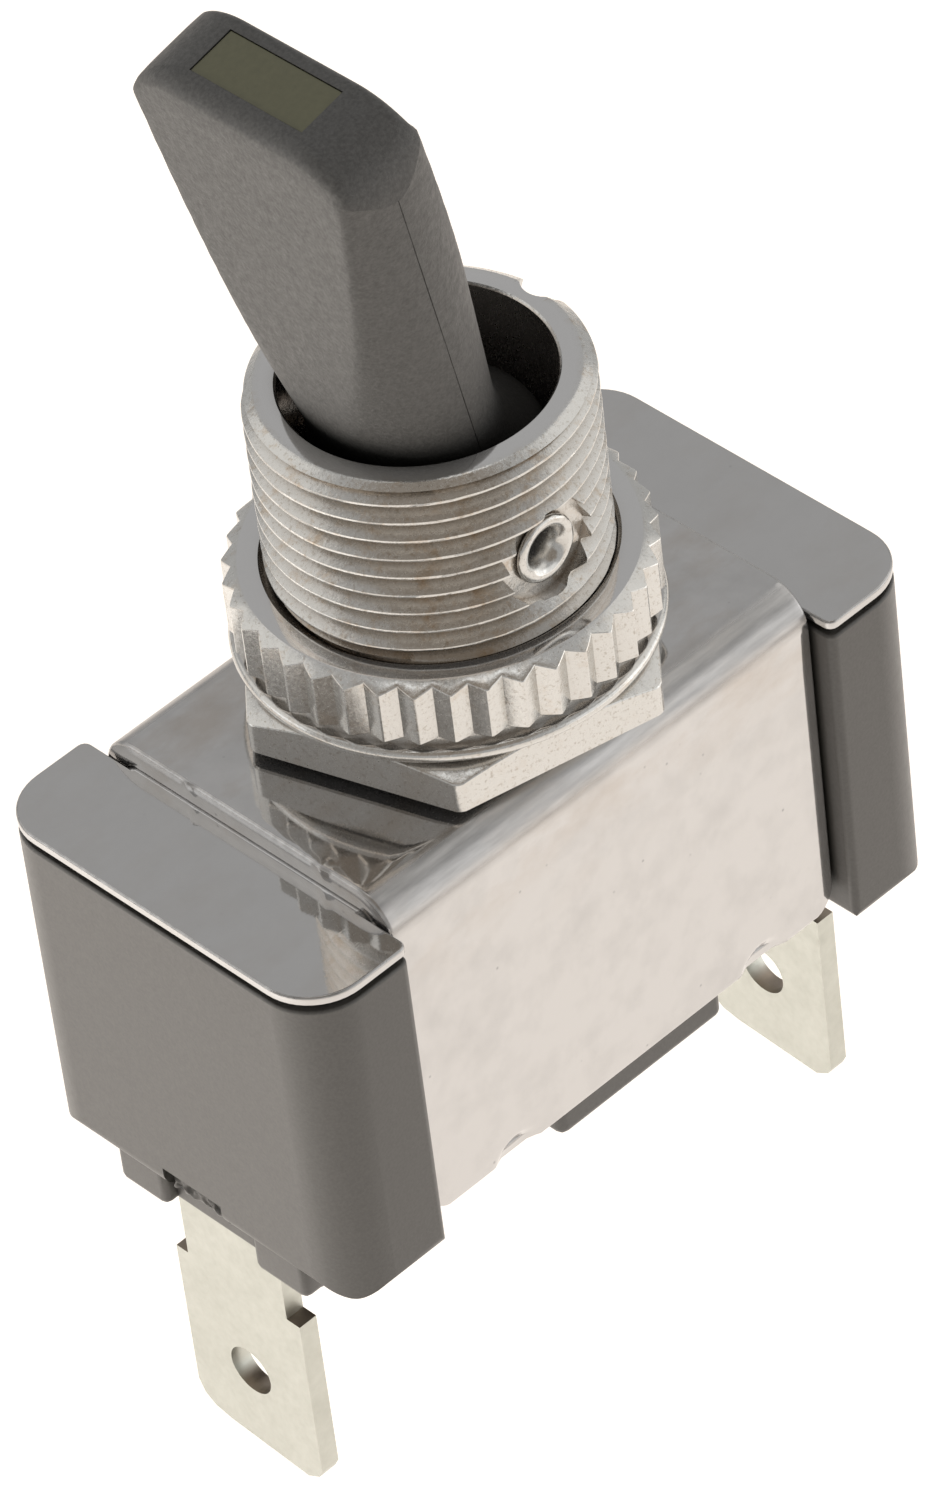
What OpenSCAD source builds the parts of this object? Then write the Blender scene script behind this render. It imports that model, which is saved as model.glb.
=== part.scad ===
// Panel toggle switch with a lit duckbill lever. All sizes in millimetres.
// Heights are measured from the top of the bracket, and those of the lever from its pivot.
// The origin of the part is on the bushing's axis at the top face of the knurled nut.

/* [Body] */
// length of the body along X
body_length = 29.2; // [28.8:0.1:31]
// width of the end blocks along Y
body_width = 15.8; // [15.2:0.1:17]
// depth of the end blocks below the bracket's top
body_depth = 15.3; // [14.9:0.1:16.5]
// radius of the vertical corners of the end blocks
corner_r = 2.2; // [1.2:0.1:2.8]
// radius of the lower edges of the end blocks
lower_edge_r = 0.8; // [0.4:0.1:1.2]
// length of the blind bar under the middle of the body
bar_length = 8.1; // [6:0.1:8.6]
// distance of the bar's middle from the bushing axis
bar_x = 1.05; // [0:0.05:1.3]
// how far the bar stands below the end blocks
bar_drop = 1.6; // [0.8:0.1:2.2]
// how far the feet round each terminal stand below the end blocks
foot_drop = 1.7; // [1:0.1:2.2]
// width of a pair of feet
foot_width = 9.4; // [8:0.1:10]

/* [Bracket and cover plate] */
// length of the bracket along X
bracket_length = 20.1; // [19:0.1:21]
// width of the bracket over its flaps
bracket_width = 14; // [13.6:0.1:14.4]
// thickness of the bracket's sheet
bracket_sheet = 0.95; // [0.8:0.05:1]
// depth of the flaps below the bracket's top
flap_depth = 14.7; // [14.4:0.1:15]
// outer radius of the bracket's bends
bend_r = 1.6; // [1.2:0.1:2]
// thickness of the cover plate
plate_sheet = 0.65; // [0.5:0.05:0.7]

/* [Bushing and nuts] */
// radius over the thread crests
thread_r = 5.95; // [5.85:0.05:6.2]
// radius of the bushing's bore
bore_r = 4.72; // [4.65:0.01:4.8]
// height of the bushing above the bracket
bushing_height = 12.9; // [12:0.1:15]
// size of the hexagonal nut across its flats
hex_across_flats = 14; // [13.6:0.1:15]
// radius over the tips of the knurl
knurl_r = 7.5; // [7.3:0.05:8]
// number of teeth of the knurl
knurl_teeth = 38; // [30:1:44]

/* [Lever] */
// lean of the lever from upright in the stored pose, in degrees
lever_lean = 13.5; // [11:0.5:14]
// length of the lever from its pivot to its end
lever_length = 20.45; // [19:0.05:24]
// half the width of the lever at its end, before the edge is rounded
tip_half_width = 5.4; // [5:0.1:6]
// half the thickness between the flats at the lever's end
tip_half_thickness = 1.75; // [1.5:0.05:2]
// radius of the round shoulders on either side of the lens
shoulder_r = 2.9; // [1.5:0.1:3]
// radius of the lever's ball
ball_r = 4.45; // [4.3:0.05:4.5]
// length of the lens across the lever
lens_length = 5.15; // [4:0.05:6]
// width of the lens
lens_width = 1.95; // [1.5:0.05:2.2]

/* [Terminals] */
// width of the blade terminals
blade_width = 6.3; // [4.8:0.1:6.3]
// thickness of the blade terminals
blade_sheet = 0.8; // [0.5:0.05:0.8]
// distance of each blade's middle from the end of the body
blade_setback = 1.55; // [1.5:0.05:1.7]
// depth of the blades' ends below the bracket's top
blade_depth = 28; // [26:0.1:30]
// length of a blade below its shoulders
tab_length = 8.1; // [6.5:0.1:8.5]
// radius of the hole in each blade
blade_hole_r = 1; // [0.7:0.05:1.1]
// height of the hole above the blade's end
blade_hole_rise = 3.8; // [3.2:0.1:4]

/* [Mechanism] */
// tilt of the rocker in the stored pose, in degrees
rocker_tilt = 7; // [6:0.5:7.5]
// width of the rocker along Y
rocker_width = 4.2; // [3:0.1:5]

/* [Hidden] */
$fn = 64;
// overshoot of a cut, gap between pieces that touch, and length of a cut right through
eps = 0.01;
gap = 0.02;
far = 60;

// nuts, by height
hex_low = 0.55;
hex_top = 2.05;
flange_low = 2.1;
flange_top = 2.6;
teeth_low = 2.95;
nut_top = 5.4;
hex_turn = -13;
knurl_turn = 95.3;
tooth_depth = 0.55;
hex_chamfer_run = 4;
knurl_chamfer_run = 5.9;
flange_edge = 0.1;
// bushing: thread, spigot through the bracket, and its lip swaged over beneath
core_r = thread_r - 0.42;
thread_grooves = 8;
thread_crest = 0.2;
thread_root = 0.13;
nut_bore_r = core_r + 0.07;
spigot_r = 5.3;
swage_r = 5.6;
rim_chamfer = 0.4;
keyway_r = 1;
keyway_x = thread_r + 0.24;
keyway_low = -0.9;
// pivot pin with flared ends, and the wide mouths of its holes
pivot_z = 8.1;
pin_r = 1;
pin_slip = 0.06;
pin_bore_r = 0.55;
pin_half = 5.21;
pin_flare = 0.35;
mouth_r = 1.95;
mouth_start = 5.2;
// cover plate and the body between the bracket's flaps
plate_top = -bracket_sheet;
plate_low = plate_top - plate_sheet;
block_x = bracket_length / 2 + 0.1;
half_l = body_length / 2;
half_w = body_width / 2;
mid_half = bracket_width / 2 - bracket_sheet;
mid_low = -14.2;
body_top = plate_low - 0.05;
body_low = -body_depth;
inner_corner_r = 0.35;
// bracket: round flap corners, and lugs staked under the body
flap_corner_r = 1.2;
stake_x = [-5.8, 6.4];
lug_half = 1.15;
lug_reach = 1.7;
dent_r = 2.15;
dent_y = 1.75;
dent_drop = 0.35;
// feet with a notch between them, and the gate's recess in the end face
foot_inner = half_l - 2.6;
foot_outer = half_l - 0.45;
foot_edge_r = 0.5;
notch_inner = half_l - 1.1;
notch_y = [-2.1, 2.3];
gate_inner = half_l - 0.5;
gate_y = [-1.3, 1.6];
gate_z = [-15.4, -14.5];
// chamber of the contacts, with a stop for the rocker and a support for the shelf
chamber_x = half_l - 1;
chamber_y = 4.6;
floor_z = -12;
stop_x = [-10.2, -8.4];
stop_top = -8.2;
support_x = [7, half_l - 2.6];
support_y = 2.1;
// insulating sheet
sheet_t = 0.4;
sheet_x = half_l - 1.4;
sheet_y = 5.3;
sheet_hole_r = 5.1;
// blades: neck above the shoulders, corners cut off at the end, and straps inside
blade_x = half_l - blade_setback;
neck_inset = 0.65;
blade_end = -blade_depth;
shoulder_z = blade_end + tab_length;
strap_y = 2.2;
strap_t = 0.78;
shelf_z = -10;
shelf_t = 0.8;
line_strap_end = 2.4;
load_strap_end = 6.7;
// rocker on its cradle, and the trough that the plunger follows
cradle_half = 1.6;
cradle_y = 2.1;
rivet_r = 0.75;
rivet_head_r = 1.3;
ridge_z = -6.9;
ridge_r = 0.7;
ridge_slip = 0.05;
arm_reach = 9.6;
arm_t = 0.8;
arm_root = 5.5;
lip_in = 3.7;
lip_out = 4.4;
lip_z = -4.3;
underside_in = 4;
underside_out = 5;
underside_z = -5.3;
trough_z = 0.73;
trough_r = 6.28;
trough_t = 0.8;
trough_angle = 33;
underside_angle = 30;
contact_x = 8.2;
contact_low = -7.6;
contact_dome_r = 2.2;
contact_r = 1.2;
contact_stem_r = 0.68;
seat_x = contact_x + 0.1;
seat_r = 1.4;
seat_t = 0.55;
seat_stem_r = 0.78;
// lever: taper of the flats and of the oval stem, and its tail below the ball
flat_taper = 0.083;
tip_oval = 4.5;
oval_taper_x = 0.1093;
oval_taper_y = 0.0933;
stem_low = 3;
root_low = 2.6;
root_r = 3.6;
neck_r = 2.95;
ball_cut = -3.3;
tail_r = 2.1;
tail_end = -11;
// plunger and its spring in the lever's tail
plunger_r = 1.25;
plunger_reach = 13.6;
spring_bore_r = 1.35;
spring_bore_top = -3.6;
spring_top = -3.9;
spring_low = -8;
spring_r = 1.05;
spring_wire = 0.14;
spring_turns = 7;
// lamp in the lever, its two leads and the lens
lamp_r = 1.3;
lamp_low = 9.6;
base_length = 3;
bulb_r = 1.1;
bulb_length = 4;
lead_x = 1.15;
lead_r = 0.12;
ground_r = 0.15;
lens_depth = 2.1;
lens_offset = 0.15;

// turns a shape drawn in the lever's own frame into its stored pose
module in_lever() {
    translate([0, 0, pivot_z - nut_top])
        rotate([0, -lever_lean, 0])
            children();
}

// moves a shape measured from the bracket's top into the part's frame
module on_bracket() {
    translate([0, 0, -nut_top])
        children();
}

// turns a shape of the level rocker into its stored pose
module in_rocker() {
    translate([0, 0, ridge_z - nut_top])
        rotate([0, rocker_tilt, 0])
            translate([0, 0, -ridge_z])
                children();
}

// repeats a shape of the +X end at the -X end
module at_both_ends() {
    children();
    mirror([1, 0, 0])
        children();
}

// rectangle with round corners, between opposite corners
module round_rect(x0, x1, y0, y1, r) {
    translate([x0 + r, y0])
        square([x1 - x0 - 2 * r, y1 - y0]);
    translate([x0, y0 + r])
        square([x1 - x0, y1 - y0 - 2 * r]);
    for (x = [x0 + r, x1 - r], y = [y0 + r, y1 - r])
        translate([x, y])
            circle(r);
}

// box between opposite corners
module box(x0, x1, y0, y1, z0, z1) {
    translate([x0, y0, z0])
        cube([x1 - x0, y1 - y0, z1 - z0]);
}

// cylinder or cone about Z between two heights
module post(z0, z1, r0, r1) {
    translate([0, 0, z0])
        cylinder(h = z1 - z0, r1 = r0, r2 = r1);
}

// extrudes a side view (X, Z) through the width w
module through_y(w) {
    rotate([90, 0, 0])
        linear_extrude(w, center = true)
            children();
}

// extrudes an end view (Y, Z) through the length l
module through_x(l) {
    rotate([90, 0, 90])
        linear_extrude(l, center = true)
            children();
}

// end block in plan: large corners outside, small ones beside the bracket
module end_plan() {
    intersection() {
        round_rect(block_x - 3 * corner_r, half_l, -half_w, half_w, corner_r);
        round_rect(block_x, half_l + corner_r, -half_w, half_w, inner_corner_r);
    }
}

module end_block() {
    over = body_top + 2 * lower_edge_r;
    intersection() {
        translate([0, 0, body_low])
            linear_extrude(body_top - body_low)
                end_plan();
        through_y(far)
            round_rect(block_x, half_l, body_low, over, lower_edge_r);
        through_x(far)
            round_rect(-half_w, half_w, body_low, over, lower_edge_r);
    }
}

// pair of feet in front of a blade, with the notch between them
module feet() {
    w = foot_width / 2;
    low = body_low - foot_drop;
    difference() {
        intersection() {
            box(foot_inner, foot_outer, -w, w, low, body_low + foot_edge_r);
            through_x(far)
                round_rect(-w, w, low, body_low + 2 * foot_edge_r, foot_edge_r);
        }
        box(notch_inner, half_l, notch_y[0], notch_y[1], low - 1, body_low);
    }
}

// space for the contacts, less the stop and the support that stand in it
module chamber() {
    difference() {
        box(-chamber_x, chamber_x, -chamber_y, chamber_y, floor_z, 0);
        box(stop_x[0], stop_x[1], -chamber_y - 1, chamber_y + 1, floor_z - 1, stop_top);
        box(support_x[0], support_x[1], -support_y, support_y, floor_z - 1, shelf_z - gap);
    }
}

module housing() {
    slot_half = blade_sheet / 2 + 0.05;
    slot_y = blade_width / 2 - neck_inset + 0.05;
    color([0.06, 0.06, 0.065])
        on_bracket()
            difference() {
                union() {
                    at_both_ends() {
                        end_block();
                        feet();
                    }
                    box(-block_x - 1, block_x + 1, -mid_half, mid_half, mid_low, body_top);
                    box(bar_x - bar_length / 2, bar_x + bar_length / 2, -mid_half, mid_half,
                        body_low - bar_drop, mid_low + 1);
                }
                chamber();
                // channel that lets the line terminal's strap pass under the stop
                box(-chamber_x, line_strap_end + 0.2, -strap_y - 0.1, strap_y + 0.1,
                    floor_z, floor_z + strap_t + 0.07);
                // recess for the insulating sheet
                box(-sheet_x - 0.4, sheet_x + 0.4, -sheet_y - 0.05, sheet_y + 0.05,
                    body_top - sheet_t, 0);
                // room for the rivet's head and for the stem of the fixed contact
                post(floor_z - 0.5, floor_z + 0.5, rivet_head_r + 0.1, rivet_head_r + 0.1);
                translate([seat_x, 0, 0])
                    post(shelf_z - 0.6, shelf_z + 0.4, 1, 1);
                at_both_ends() {
                    box(blade_x - slot_half, blade_x + slot_half, -slot_y, slot_y,
                        body_low - foot_drop - 1, floor_z + 1);
                    box(gate_inner, half_l + 1, gate_y[0], gate_y[1], gate_z[0], gate_z[1]);
                }
            }
}

// the waist of the plate has round edges that follow the inside of the bracket's bends
module cover_plate() {
    top = plate_top - gap;
    waist = mid_half - gap;
    color([0.72, 0.73, 0.74])
        on_bracket()
            difference() {
                union() {
                    translate([0, 0, plate_low])
                        linear_extrude(top - plate_low)
                            at_both_ends()
                                end_plan();
                    intersection() {
                        box(-block_x - 1, block_x + 1, -waist, waist, plate_low, top);
                        through_x(far)
                            round_rect(-waist, waist, plate_low - 3, top, bend_r - bracket_sheet - gap);
                    }
                }
                post(plate_low - 1, 0, swage_r + 0.1, swage_r + 0.1);
            }
}

module insulator() {
    color([0.55, 0.33, 0.2])
        on_bracket()
            difference() {
                box(-sheet_x, sheet_x, -sheet_y, sheet_y, body_top - sheet_t + eps, body_top - eps);
                post(body_top - 2, 0, sheet_hole_r, sheet_hole_r);
            }
}

module bracket() {
    w = bracket_width / 2;
    l = bracket_length / 2;
    color([0.78, 0.76, 0.73])
        on_bracket()
            difference() {
                union() {
                    intersection() {
                        through_x(bracket_length)
                            difference() {
                                round_rect(-w, w, -2 * flap_depth, 0, bend_r);
                                round_rect(-w + bracket_sheet, w - bracket_sheet, -3 * flap_depth,
                                    -bracket_sheet, bend_r - bracket_sheet);
                            }
                        through_y(far)
                            round_rect(-l, l, -flap_depth, 2 * flap_corner_r, flap_corner_r);
                    }
                    // staked lugs that hook under the body
                    for (x = stake_x, m = [0, 1])
                        mirror([0, m, 0])
                            box(x - lug_half, x + lug_half, w - lug_reach, w - 0.1,
                                -flap_depth, mid_low - gap);
                }
                post(-far, far, spigot_r + gap, spigot_r + gap);
                // dents left by the staking tool
                for (x = stake_x, m = [-1, 1])
                    translate([x, m * (w + dent_y), -flap_depth - dent_drop])
                        sphere(dent_r);
            }
}

// thread between two heights, drawn as level grooves between flat crests
module thread(low, high) {
    pitch = (high - low - thread_crest) / thread_grooves;
    flank = (pitch - thread_crest - thread_root) / 2;
    rotate_extrude()
        polygon([
            [0, high], [0, low],
            for (i = [0 : thread_grooves])
                let (z = low + i * pitch)
                    each [[thread_r, z], [thread_r, z + thread_crest],
                        if (i < thread_grooves) [core_r, z + thread_crest + flank],
                        if (i < thread_grooves) [core_r, z + pitch - flank]]]);
}

module bushing() {
    color([0.7, 0.67, 0.62])
        on_bracket()
            difference() {
                union() {
                    post(0, nut_top + eps, core_r, core_r);
                    thread(nut_top, bushing_height - rim_chamfer);
                    post(bushing_height - rim_chamfer, bushing_height,
                        thread_r, thread_r - rim_chamfer - 0.1);
                    // spigot through the bracket, with its swaged lip
                    post(plate_low, eps, spigot_r, spigot_r);
                    post(plate_low, plate_top - eps, swage_r, swage_r);
                }
                post(-far, far, bore_r, bore_r);
                post(plate_low - eps, plate_low + 1, bore_r + 0.25, bore_r);
                translate([keyway_x, 0, 0])
                    post(keyway_low, far, keyway_r, keyway_r);
                // cross holes for the pivot pin, wide outside
                translate([0, 0, pivot_z])
                    rotate([90, 0, 0]) {
                        cylinder(h = far, r = pin_r + gap, center = true);
                        for (m = [0, 180])
                            rotate([m, 0, 0])
                                post(mouth_start, far, mouth_r, mouth_r);
                    }
            }
}

module pivot_pin() {
    color([0.75, 0.74, 0.72])
        on_bracket()
            translate([0, 0, pivot_z])
                rotate([90, 0, 0])
                    difference() {
                        union() {
                            post(-pin_half, pin_half, pin_r, pin_r);
                            for (m = [0, 180])
                                rotate([m, 0, 0])
                                    post(pin_half, pin_half + pin_flare, pin_r + 0.05, pin_r + 0.25);
                        }
                        post(-far, far, pin_bore_r, pin_bore_r);
                    }
}

// blade seen along X with its neck upwards, up to the height top
module blade_outline(top) {
    h = blade_width / 2;
    n = h - neck_inset;
    polygon([
        [-h + 0.8, blade_end], [h - 1.6, blade_end + 0.25], [h - 0.4, blade_end + 0.55],
        [h, blade_end + 1.3], [h, shoulder_z], [n, shoulder_z], [n, top],
        [-n, top], [-n, shoulder_z], [-h, shoulder_z], [-h, blade_end + 0.75]]);
}

// blade at the +X end (side 1) or the -X end (side -1)
module blade(side, top) {
    difference() {
        translate([side * blade_x, 0, 0])
            through_x(blade_sheet)
                blade_outline(top);
        translate([side * blade_x, 0, blade_end + blade_hole_rise])
            rotate([0, 90, 0])
                cylinder(h = 5 * blade_sheet, r = blade_hole_r, center = true);
    }
}

module line_terminal() {
    strap_top = floor_z + gap + strap_t;
    color([0.86, 0.83, 0.77])
        on_bracket()
            difference() {
                union() {
                    blade(-1, strap_top);
                    box(-blade_x - blade_sheet / 2, line_strap_end, -strap_y, strap_y,
                        floor_z + gap, strap_top);
                }
                post(floor_z - 1, floor_z + 2, rivet_r + 0.05, rivet_r + 0.05);
            }
}

module load_terminal() {
    shelf_top = shelf_z + shelf_t;
    color([0.86, 0.83, 0.77])
        on_bracket()
            difference() {
                union() {
                    blade(1, shelf_top);
                    box(load_strap_end, blade_x + blade_sheet / 2, -strap_y, strap_y,
                        shelf_z, shelf_top);
                }
                translate([seat_x, 0, 0])
                    post(shelf_z - 1, shelf_z + 2, seat_stem_r + 0.04, seat_stem_r + 0.04);
            }
}

module cradle() {
    foot_z = floor_z + gap + strap_t + eps;
    color([0.8, 0.62, 0.3])
        on_bracket()
            difference() {
                box(-cradle_half, cradle_half, -cradle_y, cradle_y, foot_z, ridge_z);
                through_y_at(ridge_z)
                    circle(ridge_r + ridge_slip);
                post(floor_z, floor_z + 2.4, rivet_r + 0.03, rivet_r + 0.03);
            }
}

// extrudes a side view through the mechanism about the height z
module through_y_at(z) {
    translate([0, 0, z])
        through_y(far)
            children();
}

module cradle_rivet() {
    color([0.82, 0.66, 0.36])
        on_bracket() {
            post(floor_z - 0.4, floor_z, rivet_head_r, rivet_head_r);
            post(floor_z - 0.2, floor_z + 2.2, rivet_r, rivet_r);
        }
}

module fixed_contact() {
    shelf_top = shelf_z + shelf_t;
    color([0.88, 0.88, 0.86])
        on_bracket()
            translate([seat_x, 0, 0]) {
                post(shelf_top + eps, shelf_top + eps + seat_t, seat_r, seat_r);
                post(shelf_z - 0.4, shelf_top + 0.2, seat_stem_r, seat_stem_r);
            }
}

// points of an arc under the trough's centre, from the angle a0 to a1
function arc_points(r, a0, a1, n) = [for (i = [0 : n])
    let (a = a0 + (a1 - a0) * i / n) [r * sin(a), trough_z - r * cos(a)]];

// side view of the level rocker: a curved trough between two flat arms
function rocker_outline() = concat(
    [[arm_reach, ridge_z], [arm_reach, ridge_z + arm_t], [arm_root, ridge_z + arm_t],
        [lip_out, lip_z], [lip_in, lip_z]],
    arc_points(trough_r, trough_angle, -trough_angle, 22),
    [[-lip_in, lip_z], [-lip_out, lip_z], [-arm_root, ridge_z + arm_t],
        [-arm_reach, ridge_z + arm_t], [-arm_reach, ridge_z], [-underside_out, ridge_z],
        [-underside_in, underside_z]],
    arc_points(trough_r + trough_t, -underside_angle, underside_angle, 20),
    [[underside_in, underside_z], [underside_out, ridge_z]]);

module rocker() {
    color([0.8, 0.64, 0.34])
        in_rocker()
            difference() {
                through_y(rocker_width) {
                    polygon(rocker_outline());
                    translate([-0.5, ridge_z])
                        square([1, ridge_r]);
                    translate([0, ridge_z])
                        circle(ridge_r);
                }
                translate([contact_x, 0, 0])
                    post(ridge_z - 1, ridge_z + 3, contact_stem_r + gap, contact_stem_r + gap);
            }
}

module moving_contact() {
    color([0.88, 0.88, 0.86])
        in_rocker()
            translate([contact_x, 0, 0]) {
                intersection() {
                    post(contact_low, ridge_z - eps, contact_r, contact_r);
                    translate([0, 0, contact_low + contact_dome_r])
                        sphere(contact_dome_r);
                }
                post(ridge_z - 0.3, ridge_z + arm_t + 0.1, contact_stem_r, contact_stem_r);
            }
}

module hex_nut() {
    color([0.76, 0.73, 0.68])
        on_bracket()
            difference() {
                intersection() {
                    translate([0, 0, hex_low])
                        rotate([0, 0, hex_turn])
                            cylinder(h = hex_top - hex_low, r = hex_across_flats / sqrt(3), $fn = 6);
                    // chamfered upper corners
                    post(hex_low, hex_top, hex_across_flats / 2 + hex_chamfer_run,
                        hex_across_flats / 2 - 0.05);
                }
                post(-far, far, nut_bore_r, nut_bore_r);
                post(hex_low - eps, hex_low + 0.4, nut_bore_r + 0.4, nut_bore_r);
            }
}

// plan of the knurl: pointed teeth with straight faces
module knurl_plan() {
    pitch = 360 / knurl_teeth;
    polygon([for (i = [0 : 2 * knurl_teeth - 1])
        let (r = i % 2 == 0 ? knurl_r : knurl_r - tooth_depth, t = knurl_turn + pitch * i / 2)
            [r * cos(t), r * sin(t)]]);
}

module knurled_nut() {
    rim = flange_top - flange_edge;
    groove_r = knurl_r - tooth_depth - 0.2;
    color([0.8, 0.77, 0.72])
        on_bracket()
            difference() {
                union() {
                    post(flange_low, rim, knurl_r, knurl_r);
                    post(rim, flange_top, knurl_r, knurl_r - flange_edge);
                    post(rim, teeth_low + 0.3, groove_r, groove_r);
                    intersection() {
                        translate([0, 0, teeth_low])
                            linear_extrude(nut_top - teeth_low)
                                knurl_plan();
                        post(teeth_low, nut_top, knurl_r + knurl_chamfer_run - 0.6, knurl_r - 0.6);
                    }
                }
                post(-far, far, nut_bore_r, nut_bore_r);
                post(nut_top - 0.5, nut_top + eps, nut_bore_r, nut_bore_r + 0.51);
            }
}

// half the thickness between the flats at the height z
function flat_half(z) = tip_half_thickness + (lever_length - z) * flat_taper;

// half the thickness and half the width of the stem's oval at the height z
function oval_x(z) = tip_oval - (lever_length - z) * oval_taper_x;
function oval_y(z) = tip_half_width - (lever_length - z) * oval_taper_y;

// thin oval slice of the stem at the height z, less an inset
module slice(z, inset) {
    translate([0, 0, z])
        linear_extrude(0.05)
            scale([oval_x(z) - inset, oval_y(z) - inset])
                circle(1, $fn = 40);
}

// side view that cuts the two flats, with the end's edges rounded off
module flats_view() {
    top = lever_length;
    polygon([
        [-flat_half(2), 2], [flat_half(2), 2],
        [flat_half(top - 0.5), top - 0.5], [flat_half(top) - 0.4, top],
        [-flat_half(top) + 0.4, top], [-flat_half(top - 0.5), top - 0.5]]);
}

module lever() {
    top = lever_length;
    color([0.1, 0.1, 0.105])
        in_lever()
            difference() {
                union() {
                    intersection() {
                        hull() {
                            slice(stem_low, 0);
                            slice(top - 1, 0);
                            slice(top - 0.35, 0.3);
                            slice(top - 0.05, 0.85);
                        }
                        through_y(far)
                            flats_view();
                        through_x(far)
                            round_rect(-tip_half_width, tip_half_width, 0, top, shoulder_r);
                    }
                    // ball, cut off below
                    intersection() {
                        sphere(ball_r);
                        post(ball_cut, 2 * ball_r, 2 * ball_r, 2 * ball_r);
                    }
                    post(root_low, root_low + 1.5, root_r, neck_r);
                    post(tail_end, ball_cut + 1, tail_r, tail_r);
                }
                rotate([90, 0, 0])
                    cylinder(h = far, r = pin_r + pin_slip, center = true);
                post(tail_end - 1, spring_bore_top, spring_bore_r, spring_bore_r);
                // lamp's chamber and the lens window
                post(lamp_low, top - lens_depth, lamp_r, lamp_r);
                box(lens_offset - lens_width / 2, lens_offset + lens_width / 2,
                    -lens_length / 2, lens_length / 2, top - lens_depth - 0.05, top + 1);
                // channels of the two leads
                translate([lead_x, 0, 0])
                    post(spring_bore_top - 1, lamp_low + 0.4, lead_r + 0.08, lead_r + 0.08);
                post(0, lamp_low + 0.4, 2 * ground_r, 2 * ground_r);
            }
}

module lens() {
    x = lens_width / 2 - eps;
    y = lens_length / 2 - eps;
    color([0.3, 0.3, 0.2, 0.8])
        in_lever()
            box(lens_offset - x, lens_offset + x, -y, y,
                lever_length - lens_depth, lever_length - 0.03);
}

module lamp_bulb() {
    low = lamp_low + base_length + gap;
    color([0.9, 0.9, 0.88, 0.4])
        in_lever() {
            post(low, low + bulb_length, bulb_r, bulb_r);
            translate([0, 0, low + bulb_length])
                sphere(bulb_r);
        }
}

module lamp_base() {
    color([0.82, 0.68, 0.4])
        in_lever()
            post(lamp_low + gap, lamp_low + base_length, lamp_r - 0.08, lamp_r - 0.08);
}

module lamp_lead() {
    color([0.75, 0.45, 0.3])
        in_lever()
            translate([lead_x, 0, 0])
                post(spring_bore_top + gap, lamp_low, lead_r, lead_r);
}

module ground_lead() {
    color([0.75, 0.45, 0.3])
        in_lever()
            post(pin_r + pin_slip, lamp_low, ground_r, ground_r);
}

module spring_contact() {
    color([0.82, 0.68, 0.4])
        in_lever()
            post(spring_top, spring_bore_top - eps, spring_bore_r - 0.07, spring_bore_r - 0.07);
}

// one continuous coil of round wire about Z, between two heights
module coil(r, wire, z0, z1, turns, steps, sides) {
    n = turns * steps;
    pts = [for (i = [0 : n])
        let (t = 360 * i / steps)
            for (j = [0 : sides - 1])
                let (b = 360 * j / sides)
                    [(r + wire * cos(b)) * cos(t), (r + wire * cos(b)) * sin(t),
                        z0 + wire + (z1 - z0 - 2 * wire) * i / n + wire * sin(b)]];
    quads = [for (i = [0 : n - 1], j = [0 : sides - 1])
        [i * sides + j, i * sides + (j + 1) % sides,
            (i + 1) * sides + (j + 1) % sides, (i + 1) * sides + j]];
    first = [for (j = [sides - 1 : -1 : 0]) j];
    last = [for (j = [0 : sides - 1]) n * sides + j];
    polyhedron(pts, concat(quads, [first, last]), convexity = 12);
}

module plunger_spring() {
    color([0.7, 0.7, 0.72])
        in_lever()
            coil(spring_r, spring_wire, spring_low + gap, spring_top - gap, spring_turns, 14, 6);
}

module plunger() {
    dome_z = plunger_r - plunger_reach;
    color([0.82, 0.64, 0.3])
        in_lever() {
            post(dome_z, spring_low, plunger_r, plunger_r);
            translate([0, 0, dome_z])
                sphere(plunger_r);
        }
}

housing();
cover_plate();
insulator();
bracket();
bushing();
pivot_pin();
line_terminal();
load_terminal();
cradle();
cradle_rivet();
fixed_contact();
hex_nut();
knurled_nut();
lever();
lens();
lamp_bulb();
lamp_base();
lamp_lead();
ground_lead();
spring_contact();
plunger_spring();
plunger();
rocker();
moving_contact();
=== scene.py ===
"""Looks of the panel toggle switch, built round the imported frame.

Pieces are drawn in millimetres with heights from the top of the bracket, and those of the
lever from its pivot along its own axis. put() moves them into the frame, in metres.
"""

import math
import random

import bmesh
import bpy
from mathutils import Matrix, Vector, noise


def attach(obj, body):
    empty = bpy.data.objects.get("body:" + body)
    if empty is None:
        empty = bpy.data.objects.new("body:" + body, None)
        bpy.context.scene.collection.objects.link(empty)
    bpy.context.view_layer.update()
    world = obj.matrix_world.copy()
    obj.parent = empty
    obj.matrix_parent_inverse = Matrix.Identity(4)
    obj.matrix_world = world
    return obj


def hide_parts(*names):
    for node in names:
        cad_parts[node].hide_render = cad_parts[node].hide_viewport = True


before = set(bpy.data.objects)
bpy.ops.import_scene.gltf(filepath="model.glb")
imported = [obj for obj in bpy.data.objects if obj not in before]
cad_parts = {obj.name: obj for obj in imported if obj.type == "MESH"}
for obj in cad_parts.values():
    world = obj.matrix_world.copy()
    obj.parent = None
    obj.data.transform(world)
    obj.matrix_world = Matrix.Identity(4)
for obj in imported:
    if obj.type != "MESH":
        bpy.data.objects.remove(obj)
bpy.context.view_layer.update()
random.seed(7)

# ---------------------------------------------------------------- sizes, in millimetres
MM = 0.001
NUT_TOP = 5.4            # height of the frame's origin above the bracket

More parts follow.
